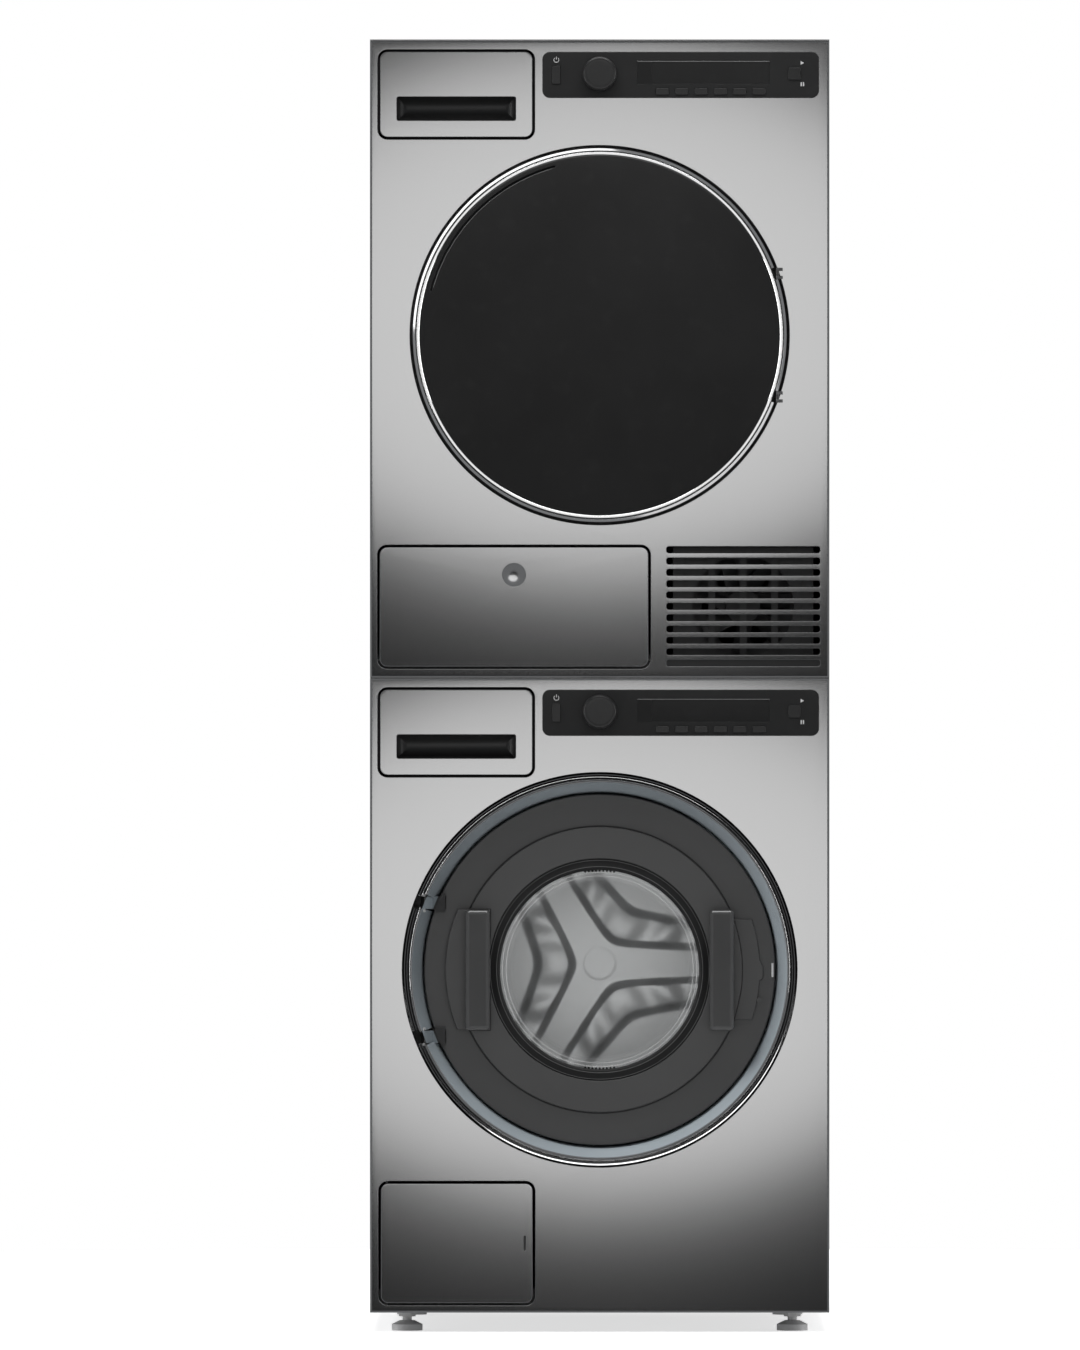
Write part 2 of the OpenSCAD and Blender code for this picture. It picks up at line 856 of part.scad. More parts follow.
// Outline of an open belt round two pulleys: the tangent points follow from the radii
module belt_loop(big_r, small_r, at, grow) {
    dist = sqrt(at[0] * at[0] + at[1] * at[1]);
    lean = acos((big_r - small_r) / dist);
    tilt = atan2(at[1], at[0]);
    rotate(tilt) {
        circle(big_r + grow);
        translate([dist, 0]) circle(small_r + grow);
        polygon([
            [(big_r + grow) * cos(lean), (big_r + grow) * sin(lean)],
            [dist + (small_r + grow) * cos(lean), (small_r + grow) * sin(lean)],
            [dist + (small_r + grow) * cos(lean), -(small_r + grow) * sin(lean)],
            [(big_r + grow) * cos(lean), -(big_r + grow) * sin(lean)]]);
    }
}

module belt(big_r, small_r, motor_at, d) {
    at = [motor_at[0], motor_at[1] - door_z];
    at_door() plate(d) difference() {
        belt_loop(big_r, small_r, at, belt_t);
        belt_loop(big_r, small_r, at, 0.3);
    }
}

module drive_belts() {
    color("black") {
        in_washer() belt(wash_pulley_r, wash_motor_r, wash_motor, grown(wash_belt_d, -2));
        in_dryer() belt(dry_drum_r, dry_motor_r, dry_motor, dry_belt_d);
    }
}

// ---- Dryer door ---------------------------------------------------------------------

module dryer_door_face() {
    grip_r = [224.5, 227.5];
    color("black") in_dryer() at_door() difference() {
        bar_y(face_r, [ring_front + 0.5, 2]);
        rotate([0, -165, 0]) turned([[grip_r[0], -5], [grip_r[1], -5], [grip_r[1], 0],
                                     [grip_r[0], 0]], 60);
    }
}

module dryer_door_ring() {
    band = [face_r, 237.6, 238.6, ring_r];
    notch_h = dry_knuckle_h + 2 * dry_lug_h + 1;
    color("silver") in_dryer() at_door() difference() {
        turned([
            [band[0], ring_front + 0.5], [band[0] + 0.6, ring_front], [band[1] - 0.4, ring_front],
            [band[1], ring_front + 0.5], [band[1], ring_front + 2], [band[2], ring_front + 2],
            [band[2], ring_front + 0.5], [band[2] + 0.4, ring_front], [band[3] - 0.6, ring_front],
            [band[3], ring_front + 0.6], [band[3], 4], [band[0], 4]]);
        at_hinges(dry_hinge_z) translate([dry_hinge[0], dry_hinge[1], -notch_h / 2])
            cylinder(r = dry_barrel_r + 0.4, h = notch_h);
    }
}

module dryer_door_inner() {
    bulge_r = 188;
    arm_t = 1.4;
    arm_d = [5, 8];
    color("dimgray") in_dryer() at_door() {
        turned([[0, 2], [face_r, 2], [face_r, 4], [ring_r - 1, 4], [ring_r - 1, 14],
                [ring_r - 9, 19], [bulge_r + 8, 19], [bulge_r, 30], [bulge_r - 4, 60],
                [bulge_r - 20, 64], [0, 64], [0, 60], [bulge_r - 24, 60], [bulge_r - 8, 30],
                [bulge_r - 2, 8], [0, 8]]);
        turned([[bulge_r + 14, 19], [bulge_r + 30, 19], [bulge_r + 26, 25], [bulge_r + 18, 25]]);
        at_hinges(dry_hinge_z) difference() {
            union() {
                translate([dry_hinge[0], dry_hinge[1], -dry_knuckle_h / 2])
                    cylinder(r = dry_barrel_r, h = dry_knuckle_h);
                block(around(dry_hinge[0], arm_t), [dry_hinge[1], arm_d[1]], around(0, dry_knuckle_h));
                block([224, dry_hinge[0] + arm_t / 2], arm_d, around(0, dry_knuckle_h));
            }
            translate([dry_hinge[0], dry_hinge[1], -dry_knuckle_h])
                cylinder(r = dry_pin_r + run_fit, h = 2 * dry_knuckle_h);
        }
    }
}

// ---- Dryer bulkheads, drum and drive ------------------------------------------------

module front_bulkhead() {
    wall_z = [172, 692];
    difference() {
        block([-290, 290], [70, 72], wall_z);
        at_door() bar_y(dry_mouth_r + wall, [60, 80]);
    }
    at_door() {
        turned([[dry_cutout_r, sheet], [dry_cutout_r + wall, sheet], [dry_cutout_r + wall, recess_back],
                [dry_mouth_r + wall, recess_back], [dry_mouth_r + wall, 72], [dry_mouth_r, 72],
                [dry_mouth_r, recess_back - wall], [dry_cutout_r, recess_back - wall]]);
        ring_y([206, 215], [72, dry_front - 0.2]);
    }
}

module rear_bulkhead() {
    back = dry_front + dry_drum_len;
    difference() {
        block([-290, 290], [back + 8, back + 10], [120, 790]);
        at_door() {
            bar_y(20, [back, back + 20]);
            for (turn = [0:30:330]) rotate([0, turn, 0]) translate([110, 0, 0]) bar_y(16, [back, back + 20]);
        }
    }
    at_door() ring_y([dry_shaft_r + run_fit, 30], [back + 4, back + 22]);
}

module dryer_bulkheads() {
    lug_at = dry_knuckle_h / 2 + 0.2;
    color("gainsboro") in_dryer() {
        front_bulkhead();
        rear_bulkhead();
        at_door() at_hinges(dry_hinge_z) {
            for (side = [0, 1]) mirror([0, 0, side]) translate([0, 0, lug_at]) {
                translate([dry_hinge[0], dry_hinge[1], 0]) cylinder(r = dry_barrel_r, h = dry_lug_h);
                block([dry_hinge[0] + 1, 237], [dry_hinge[1], 0], [0, dry_lug_h]);
            }
            translate([dry_hinge[0], dry_hinge[1], -lug_at - dry_lug_h])
                cylinder(r = dry_pin_r, h = 2 * (lug_at + dry_lug_h));
        }
    }
}

module dryer_drum() {
    back = dry_front + dry_drum_len;
    color("silver") in_dryer() at_door() {
        turned([[dry_mouth_r + 4, dry_front], [dry_drum_r, dry_front], [dry_drum_r, back],
                [dry_shaft_r, back], [dry_shaft_r, back + 24], [0, back + 24],
                [0, back - drum_t], [dry_drum_r - drum_t, back - drum_t],
                [dry_drum_r - drum_t, dry_front + drum_t], [dry_mouth_r + 4, dry_front + drum_t]]);
    }
}

module dryer_drum_lifters() {
    color("gainsboro") in_dryer() at_door()
        for (turn = [30, 150, 270]) rotate([0, turn, 0])
            lifter(dry_drum_r - drum_t, 60, [dry_front + 30, dry_front + dry_drum_len - 30]);
}

module dryer_motor_pulley() {
    color("darkgray") in_dryer() translate([dry_motor[0], 0, dry_motor[1]]) {
        bar_y(dry_motor_r, grown(dry_belt_d, 3));
        bar_y(6, [450, dry_belt_d[0] - 3]);
    }
}

// ---- Dryer drawer, hatch, heat pump and fan -----------------------------------------

module dryer_hatch() {
    color("silver") in_dryer() {
        difference() {
            union() {
                plate([-panel_lip, front_back]) round_rect(hatch_x, hatch_zz, corner_r);
                difference() {
                    block(grown(hatch_x, -4), [front_back, pan_d], [hatch_zz[0] + 1, hatch_zz[1] - 4]);
                    block(grown(hatch_x, -8), [front_back + wall, pan_d + 1], grown(hatch_zz, -8));
                }
            }
            translate([dimple_at[0], 0, dimple_at[1]]) bar_y(dimple_r, [-panel_lip - 1, pan_d + 1]);
        }
        translate([dimple_at[0], 0, dimple_at[1]]) turned([
            [dimple_r, -panel_lip + 0.6], [dimple_r, 4], [0, 7.5], [0, 6.3], [dimple_r - 4, 4.4],
            [dimple_r - 1, 0.5]]);
        for (x = [hatch_x[1] - 6, hatch_x[0] - pin_len])
            translate([x, flap_axis[1], hatch_axis_z]) rotate([0, 90, 0])
                cylinder(r = pin_r, h = pin_len + 6);
    }
}

module heat_pump() {
    box_x = [-270, 40];
    box_z = [20, 160];
    fins = 12;
    shroud_x = [95, 277];
    shroud_z = [14, 170];
    shroud_d = [22, 62];
    compressor_at = [-170, 440];
    color("darkslategray") in_dryer() {
        difference() {
            block(box_x, [40, 290], box_z);
            for (i = [0:fins - 1])
                block(around(box_x[0] + 26 + i * 23, 8), [39, 280], grown(box_z, -12));
        }
        for (x = [box_x[0], box_x[1] - 20]) block([x, x + 20], [60, 270], [sheet, box_z[0]]);
        difference() {
            block(shroud_x, shroud_d, shroud_z);
            translate([fan_x, 0, slots_z]) bar_y(fan_r + 4, [24, 58]);
            for (i = [0:3]) block(around(shroud_x[0] + 30 + i * 40.7, 32), [shroud_d[0] - 1, 27], grown(shroud_z, -16));
            translate([fan_x, 0, slots_z]) bar_y(4 + run_fit, [50, 63]);
            for (turn = [0:60:300]) translate([fan_x, 0, slots_z]) rotate([0, turn, 0])
                translate([40, 0, 0]) bar_y(14, [50, 63]);
        }
        block(grown(shroud_x, -60), [30, shroud_d[1]], [sheet, shroud_z[0]]);
        translate([compressor_at[0], compressor_at[1], 0]) {
            translate([0, 0, 40]) cylinder(r = 65, h = 110);
            translate([0, 0, 150]) cylinder(r1 = 65, r2 = 40, h = 16);
            for (turn = [45:90:315]) rotate(turn) translate([50, 0, sheet]) cylinder(r = 8, h = 39);
        }
    }
}

module cooling_fan() {
    color("dimgray") in_dryer() translate([fan_x, 0, slots_z]) {
        bar_y(fan_hub_r, fan_d);
        bar_y(4, [fan_d[1], 66]);
        for (i = [0:blade_count - 1]) rotate([0, i * 360 / blade_count, 0])
            translate([fan_hub_r - 2, 0, 0]) rotate([35, 0, 0])
                translate([0, fan_d[0] + 8, -29]) cube([fan_r - fan_hub_r, 2.4, 22]);
    }
}

base_frames();
feet();
side_panels();
rear_covers();
washer_front_panel();
dryer_front_panel();
dryer_top_cover();
rear_connections();
control_panels();
display_windows();
washer_door_bezel();
door_bellows();
washer_tub();
suspension();
drive_motors();
drive_belts();
drawer_housings();
drain_pump();
dryer_bulkheads();
heat_pump();
washer_knob();
dryer_knob();
washer_power_button();
dryer_power_button();
washer_start_button();
dryer_start_button();
washer_key(1);  // washer_key_1
washer_key(2);  // washer_key_2
washer_key(3);  // washer_key_3
washer_key(4);  // washer_key_4
washer_key(5);  // washer_key_5
washer_key(6);  // washer_key_6
dryer_key(1);  // dryer_key_1
dryer_key(2);  // dryer_key_2
dryer_key(3);  // dryer_key_3
dryer_key(4);  // dryer_key_4
dryer_key(5);  // dryer_key_5
dryer_key(6);  // dryer_key_6
washer_door_disc();
washer_door_glass();
washer_door_gasket();
washer_door_handles();
washer_door_frame();
washer_drum();
washer_drum_lifters();
washer_drum_pulley();
washer_motor_pulley();
detergent_drawer_front();
detergent_tray();
service_flap();
dryer_door_face();
dryer_door_ring();
dryer_door_inner();
dryer_drum();
dryer_drum_lifters();
dryer_motor_pulley();
tank_drawer_front();
water_tank();
dryer_hatch();
cooling_fan();
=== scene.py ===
import json
import math

import bmesh
import bpy
from mathutils import Matrix, Vector

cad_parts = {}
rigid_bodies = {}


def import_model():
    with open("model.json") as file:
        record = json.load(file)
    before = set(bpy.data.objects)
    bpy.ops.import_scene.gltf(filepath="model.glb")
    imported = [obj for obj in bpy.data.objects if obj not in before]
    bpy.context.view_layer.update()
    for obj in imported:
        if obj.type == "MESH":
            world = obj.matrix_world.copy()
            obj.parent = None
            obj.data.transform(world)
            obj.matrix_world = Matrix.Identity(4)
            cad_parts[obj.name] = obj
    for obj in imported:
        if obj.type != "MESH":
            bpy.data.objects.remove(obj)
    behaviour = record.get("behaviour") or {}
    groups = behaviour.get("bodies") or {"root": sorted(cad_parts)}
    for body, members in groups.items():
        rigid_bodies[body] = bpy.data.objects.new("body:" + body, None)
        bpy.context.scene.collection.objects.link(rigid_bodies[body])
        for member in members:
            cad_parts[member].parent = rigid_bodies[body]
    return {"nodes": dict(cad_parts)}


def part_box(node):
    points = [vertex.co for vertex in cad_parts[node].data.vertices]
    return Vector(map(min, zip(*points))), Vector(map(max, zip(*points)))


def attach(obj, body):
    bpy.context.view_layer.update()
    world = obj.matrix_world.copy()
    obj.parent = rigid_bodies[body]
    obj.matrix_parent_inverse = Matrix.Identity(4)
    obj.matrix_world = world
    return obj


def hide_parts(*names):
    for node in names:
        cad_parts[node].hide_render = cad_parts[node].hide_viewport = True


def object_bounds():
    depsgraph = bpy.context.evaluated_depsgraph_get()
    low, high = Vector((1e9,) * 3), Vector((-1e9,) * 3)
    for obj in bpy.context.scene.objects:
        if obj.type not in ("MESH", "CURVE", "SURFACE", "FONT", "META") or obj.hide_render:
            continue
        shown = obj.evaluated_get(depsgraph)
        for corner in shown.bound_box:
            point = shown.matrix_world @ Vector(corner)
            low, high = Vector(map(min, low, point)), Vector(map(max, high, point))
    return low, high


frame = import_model()
START_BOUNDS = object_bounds()

MM = 0.001
MERGE = 0.001 * MM
MACHINES = ("washer", "dryer")
ROUND_STEPS = 4
CIRCLE_STEPS = 180

# ---- Places read from the frame ----


# Lengths are in millimetres, with x and z as in the frame and y counted back from the front
# panels. spot() and the calls to Blender turn them into the frame's metres.
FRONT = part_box("washer_front_panel")[0].y


def spot(x, depth, z):
    """A place in the frame."""
    return Vector((x * MM, FRONT + depth * MM, z * MM))


class Span:
    """A node's box at rest, with short names for its sides and middle."""

    def __init__(self, node):
        low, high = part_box(node)
        self.x = (low.x / MM, high.x / MM)
        self.y = ((low.y - FRONT) / MM, (high.y - FRONT) / MM)
        self.z = (low.z / MM, high.z / MM)
        self.mid = Vector((sum(self.x) / 2, sum(self.y) / 2, sum(self.z) / 2))
        self.high = self.z[1] - self.z[0]


def grown(span, by):
    """The span widened at both ends."""
    return (span[0] - by, span[1] + by)


WASHER = Span("washer_front_panel")
DRYER = Span("dryer_front_panel")
MIDDLE = WASHER.mid.x
GASKET = Span("washer_door_gasket")
DRYER_RING = Span("dryer_door_ring")
WASHER_DOOR = (MIDDLE, GASKET.mid.z)
DRYER_DOOR = (MIDDLE, DRYER_RING.mid.z)


# ---- Outlines: functions that give their points for any inset ----


def on_circle(centre, radius, turn):
    """The point of a circle at a turn in radians from the x axis."""
    return (centre[0] + radius * math.cos(turn), centre[1] + radius * math.sin(turn))


def circle(centre, radius, steps=CIRCLE_STEPS):
    def points(inset=0.0):
        return [on_circle(centre, radius - inset, 2 * math.pi * i / steps) for i in range(steps)]

    return points


def rounded(x, z, radius, steps=8):
    """A rectangle with round corners."""

    def points(inset=0.0):
        r = max(radius - inset, 0.02)
        left, right = x[0] + inset + r, x[1] - inset - r
        low, high = z[0] + inset + r, z[1] - inset - r
        corners = [(right, high), (left, high), (left, low), (right, low)]
        result = []
        for quarter, corner in enumerate(corners):
            for i in range(steps + 1):
                result.append(on_circle(corner, r, math.pi / 2 * (quarter + i / steps)))
        return result

    return points


def polygon(corners):
    """Any outline, anticlockwise, moved in along its corners' bisectors."""

    def points(inset=0.0):
        result = []
        for i, corner in enumerate(corners):
            here = Vector(corner)
            into = (here - Vector(corners[i - 1])).normalized()
            out = (Vector(corners[(i + 1) % len(corners)]) - here).normalized()
            side = Vector((-into.y - out.y, into.x + out.x))
            side.normalize()
            reach = inset / max(side.dot(Vector((-into.y, into.x))), 0.3)
            result.append(tuple(here + side * reach))
        return result

    return points


def arc(centre, radius, start, end, steps):
    """Points on an arc, with its ends in degrees from the x axis."""
    turns = [math.radians(start + (end - start) * i / steps) for i in range(steps + 1)]
    return [on_circle(centre, radius, t) for t in turns]


def angle_at(rise, radius):
    """The angle in degrees at which a circle reaches a height."""
    return math.degrees(math.asin(rise / radius))


# ---- Mesh building ----


def placed(name, data):
    """A new object in the scene."""
    obj = bpy.data.objects.new(name, data)
    bpy.context.scene.collection.objects.link(obj)
    return obj


def mesh_object(name, bm):
    mesh = bpy.data.meshes.new(name)
    bm.to_mesh(mesh)
    bm.free()
    return placed(name, mesh)


def bridge(bm, first, second):
    for i in range(len(first)):
        j = (i + 1) % len(first)
        bm.faces.new((first[i], first[j], second[j], second[i]))


def wall(bm, outline, path):
    """Rings of an outline along a path of (inset, y), joined. Gives the first and last ring."""
    rings = [[bm.verts.new(spot(x, y, z)) for x, z in outline(inset)] for inset, y in path]
    for first, second in zip(rings, rings[1:]):
        bridge(bm, first, second)
    return rings[0], rings[-1]


def cap(bm, rings):
    """A flat face between rings, with the inner ones left open."""
    edges = []
    for ring in rings:
        for i in range(len(ring)):
            edges.append(bm.edges.get((ring[i - 1], ring[i])) or bm.edges.new((ring[i - 1], ring[i])))
    bmesh.ops.triangle_fill(bm, use_beauty=True, use_dissolve=False, edges=edges)


def rolled(edge, y, inward=1, steps=ROUND_STEPS):
    """Path over a round edge, from the wall to the face at y."""
    path = []
    for i in range(steps + 1):
        t = math.pi / 2 * i / steps
        path.append((inward * edge * (1 - math.cos(t)), y + edge * (1 - math.sin(t))))
    return path


def piece(name, bm, material, body, *nodes, sharp=32):
    """Turns a mesh into a finished piece that rides on a body and stands for CAD nodes."""
    bmesh.ops.remove_doubles(bm, verts=bm.verts, dist=MERGE)
    bmesh.ops.recalc_face_normals(bm, faces=bm.faces)
    for face in bm.faces:
        face.smooth = True
    for edge in bm.edges:
        edge.smooth = len(edge.link_faces) == 2 and edge.calc_face_angle(0) < math.radians(sharp)
    obj = mesh_object(name, bm)
    obj.data.materials.append(material)
    normals = obj.modifiers.new("face_normals", "WEIGHTED_NORMAL")
    normals.keep_sharp = True
    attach(obj, body)
    if nodes:
        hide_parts(*nodes)
    return obj


def slab(outline, holes, y, edge, hole_edge=None, bm=None):
    """A plate between two depths, with a round front edge and round-edged holes."""
    bm = bm or bmesh.new()
    hole_edge = edge if hole_edge is None else hole_edge
    back, front = wall(bm, outline, [(0, y[1])] + rolled(edge, y[0]))
    fronts, backs = [front], [back]
    for hole in holes:
        back, front = wall(bm, hole, [(0, y[1])] + rolled(hole_edge, y[0], -1))
        fronts.append(front)
        backs.append(back)
    cap(bm, fronts)
    cap(bm, backs)
    return bm


def tray(outer, outer_path, inner, inner_path):
    """A box with a hollow that is open in front."""
    bm = bmesh.new()
    rim, back = wall(bm, outer, outer_path)
    mouth, floor = wall(bm, inner, inner_path)
    bridge(bm, rim, mouth)
    cap(bm, [back])
    cap(bm, [floor])
    return bm


def folded_panel(outline, holes, y, edge, sheet, hole_edge):
    """A sheet panel whose border folds back to y[1], hollow behind."""
    bm = bmesh.new()
    rim, front = wall(bm, outline, [(0, y[1])] + rolled(edge, y[0], steps=6))
    inside = [(edge, y[0] + sheet), (sheet, y[0] + edge), (sheet, y[1])]
    back, inner_rim = wall(bm, outline, inside)
    bridge(bm, inner_rim, rim)
    fronts, backs = [front], [back]
    for hole in holes:
        hole_back, hole_front = wall(bm, hole, [(0, y[0] + sheet)] + rolled(hole_edge, y[0], -1))
        fronts.append(hole_front)
        backs.append(hole_back)
    cap(bm, fronts)
    cap(bm, backs)
    return bm


def softened(profile, steps=3):
    """A closed profile of (radius, y) or (radius, y, corner radius), with its corners rounded."""
    result = []
    count = len(profile)
    for i, point in enumerate(profile):
        corner = point[2] if len(point) > 2 else 0
        if corner <= 0:
            result.append(point[:2])
            continue
        here = Vector(point[:2])
        before = Vector(profile[i - 1][:2]) - here
        after = Vector(profile[(i + 1) % count][:2]) - here
        half = before.angle(after) / 2
        reach = min(corner / math.tan(half), before.length * 0.49, after.length * 0.49)
        start = here + before.normalized() * reach
        end = here + after.normalized() * reach
        for k in range(steps + 1):
            t = k / steps
            result.append(tuple(start * (1 - t) ** 2 + here * (2 * t * (1 - t)) + end * t**2))
    return result


def turned(profile, centre, start=0.0, end=360.0, steps=CIRCLE_STEPS, bm=None):
    """A closed profile of (radius, y) turned about the y axis through centre."""
    bm = bm or bmesh.new()
    full = abs(end - start) > 359.9
    count = steps if full else max(2, round(steps * (end - start) / 360)) + 1
    rings = []
    for i in range(count):
        t = math.radians(start + (end - start) * i / (count if full else count - 1))
        ring = []
        for r, y in profile:
            x, z = on_circle(centre, r, t)
            ring.append(bm.verts.new(spot(x, y, z)))
        rings.append(ring)
    pairs = list(zip(rings, rings[1:]))
    if full:
        pairs.append((rings[-1], rings[0]))
    for first, second in pairs:
        bridge(bm, first, second)
    if not full:
        bm.faces.new(rings[0])
        bm.faces.new(rings[-1])
    bmesh.ops.remove_doubles(bm, verts=bm.verts, dist=MERGE)
    bmesh.ops.dissolve_degenerate(bm, edges=bm.edges, dist=MERGE)
    return bm


def ring_profile(radii, depths, corner=0.0):
    """The profile of a plain ring between two radii and two depths."""
    inner, outer = radii
    near, far = depths
    points = [(inner, near), (outer, near), (outer, far), (inner, far)]
    return softened([(r, d, corner) for r, d in points])


def block(bm, x, y, z, edge=0.0, steps=2):
    """A box with rounded edges."""
    size = Vector((x[1] - x[0], y[1] - y[0], z[1] - z[0])) * MM
    place = Matrix.Translation(spot(sum(x) / 2, sum(y) / 2, sum(z) / 2)) @ Matrix.Diagonal((*size, 1))
    made = bmesh.ops.create_cube(bm, size=1.0, matrix=place)["verts"]
    if edge > 0:
        edges = {e for v in made for e in v.link_edges}
        bmesh.ops.bevel(bm, geom=list(edges), offset=edge * MM, segments=steps, profile=0.5,
                        affect="EDGES")
    return bm


def rod(bm, start, end, radius, steps=32):
    """A round bar between two points."""
    start, end = spot(*start), spot(*end)
    turn = (end - start).to_track_quat("Z", "Y").to_matrix().to_4x4()
    place = Matrix.Translation((start + end) / 2) @ turn
    bmesh.ops.create_cone(bm, cap_ends=True, segments=steps, radius1=radius * MM,
                          radius2=radius * MM, depth=(end - start).length, matrix=place)
    return bm


# ---- Materials ----


def grey(level):
    return (level, level, level)


def put(node, **values):
    """Sets inputs of a node by name, with _ for a space."""
    for key, value in values.items():
        node.inputs[key.replace("_", " ")].default_value = value


class Graph:
    """Short calls for the nodes of one material or world."""

    def __init__(self, owner):
        owner.use_nodes = True
        self.tree = owner.node_tree

    def add(self, kind, **values):
        node = self.tree.nodes.new(kind)
        put(node, **values)
        return node

    def link(self, source, target):
        self.tree.links.new(source, target)

    def remap(self, value, source, target):
        node = self.add("ShaderNodeMapRange")
        for key, number in zip(("From Min", "From Max", "To Min", "To Max"), (*source, *target)):
            node.inputs[key].default_value = number
        self.link(value, node.inputs["Value"])
        return node.outputs["Result"]

    def axes(self, vector):
        node = self.add("ShaderNodeSeparateXYZ")
        self.link(vector, node.inputs["Vector"])
        return node.outputs

    def mix_shaders(self, factor, first, second, output):
        """Ends the graph with a mix of two shaders."""
        node = self.add("ShaderNodeMixShader")
        for source, socket in zip((factor, first, second), node.inputs):
            self.link(source, socket)
        self.link(node.outputs["Shader"], self.tree.nodes[output].inputs["Surface"])


class Surface(Graph):
    """The nodes of one material."""

    def __init__(self, name):
        self.material = bpy.data.materials.new(name)
        super().__init__(self.material)
        self.shader = self.tree.nodes["Principled BSDF"]
        self.coords = self.add("ShaderNodeTexCoord").outputs["Object"]

    def noise(self, scale, stretch=(1, 1, 1), detail=2.0):
        mapping = self.add("ShaderNodeMapping", Scale=stretch)
        self.link(self.coords, mapping.inputs["Vector"])
        node = self.add("ShaderNodeTexNoise", Scale=scale, Detail=detail)
        self.link(mapping.outputs["Vector"], node.inputs["Vector"])
        return node.outputs["Fac"]

    def cells(self, scale, randomness=1.0):
        node = self.add("ShaderNodeTexVoronoi", Scale=scale, Randomness=randomness)
        self.link(self.coords, node.inputs["Vector"])
        return node.outputs

    def blend(self, factor, first, second):
        """A colour mix, where first and second are colours or sockets."""
        node = self.add("ShaderNodeMix")
        node.data_type = "RGBA"
        self.link(factor, node.inputs["Factor"])
        for socket, value in ((node.inputs[6], first), (node.inputs[7], second)):
            if isinstance(value, tuple):
                socket.default_value = (*value, 1)
            else:
                self.link(value, socket)
        return node.outputs[2]

    def sum(self, first, second, operation="ADD"):
        node = self.add("ShaderNodeMath")
        node.operation = operation
        for socket, value in zip(node.inputs, (first, second)):
            if isinstance(value, (int, float)):
                socket.default_value = value
            else:
                self.link(value, socket)
        return node.outputs[0]

    def bump(self, height, strength, distance):
        node = self.add("ShaderNodeBump", Strength=strength, Distance=distance)
        self.link(height, node.inputs["Height"])
        self.link(node.outputs["Normal"], self.shader.inputs["Normal"])


def finish(name, colour, rough, metal=0.0, spread=0.08, grain=700.0, bump=0.05,
           stretch=(1, 1, 1), wear=0.3, patches=7.0, uneven=0.07, **sockets):
    """A surface with drifting tone, fine grain as a bump, and rubbed patches that shine less evenly."""
    g = Surface(name)
    drift = g.noise(patches, detail=3.0)
    fine = g.noise(grain, stretch, detail=3.0)
    rubbed = g.remap(g.noise(38.0, stretch, detail=6.0), (0.56, 0.74), (0.0, wear))
    dark = tuple(c * (1 - spread) for c in colour)
    light = tuple(min(1.0, c * (1 + spread)) for c in colour)
    worn = tuple(min(1.0, c * (1 + 2 * spread) + 0.004) for c in colour)
    tone = g.blend(g.remap(drift, (0.3, 0.7), (0.0, 1.0)), dark, light)
    g.link(g.blend(rubbed, tone, worn), g.shader.inputs["Base Color"])
    gloss = g.remap(fine, (0.3, 0.7), (rough * (1 - uneven), rough * (1 + uneven)))
    g.link(g.sum(gloss, g.sum(rubbed, rough * 0.25, "MULTIPLY")), g.shader.inputs["Roughness"])
    put(g.shader, Metallic=metal, **sockets)
    g.bump(fine, bump, 0.1 * MM)
    return g.material


def galvanised():
    """Zinc-coated sheet, with its spangle of crystals."""
    g = Surface("galvanised_sheet")
    split = g.add("ShaderNodeSeparateColor")
    g.link(g.cells(60.0)["Color"], split.inputs["Color"])
    tone = g.blend(split.outputs["Red"], grey(0.46), grey(0.54))
    dust = g.remap(g.noise(6.0, detail=5.0), (0.45, 0.75), (0.0, 0.35))
    g.link(g.blend(dust, tone, (0.36, 0.35, 0.33)), g.shader.inputs["Base Color"])
    g.link(g.remap(split.outputs["Green"], (0, 1), (0.42, 0.48)), g.shader.inputs["Roughness"])
    put(g.shader, Metallic=0.85)
    g.bump(g.noise(500.0), 0.06, 0.1 * MM)
    return g.material


def perforated_steel():
    """Drum steel, with rows of small round holes on its wall shown as dimples, their dark colour painted
    shade inside the holes.
    """
    g = Surface("drum_steel")
    tone = g.blend(g.noise(9.0, detail=3.0), grey(0.66), grey(0.80))
    hole = g.remap(g.cells(70.0, randomness=0.0)["Distance"], (0.16, 0.2), (1.0, 0.0))
    # Near-black base colour in each hole: painted shade where the hole opens onto the dark behind the wall
    g.link(g.blend(hole, tone, grey(0.05)), g.shader.inputs["Base Color"])
    g.link(g.remap(g.noise(300.0), (0.3, 0.7), (0.2, 0.3)), g.shader.inputs["Roughness"])
    put(g.shader, Metallic=1.0)
    g.bump(g.sum(0.0, hole, "SUBTRACT"), 0.4, 0.4 * MM)
    return g.material


def clear_glass():
    """Thin clear glass: a see-through sheet that mirrors more towards its edges."""
    g = Surface("clear_glass")
    put(g.shader, Base_Color=(0.94, 0.95, 0.95, 1), Metallic=0.0)
    haze = g.remap(g.noise(14.0, detail=5.0), (0.3, 0.8), (0.02, 0.07))
    g.link(haze, g.shader.inputs["Roughness"])
    g.bump(g.noise(60.0), 0.01, 0.1 * MM)
    through = g.add("ShaderNodeBsdfTransparent", Color=(0.965, 0.97, 0.97, 1))
    facing = g.add("ShaderNodeLayerWeight", Blend=0.22)
    share = g.remap(facing.outputs["Facing"], (0.0, 1.0), (0.05, 0.55))
    g.mix_shaders(share, through.outputs["BSDF"], g.shader.outputs["BSDF"], "Material Output")
    return g.material


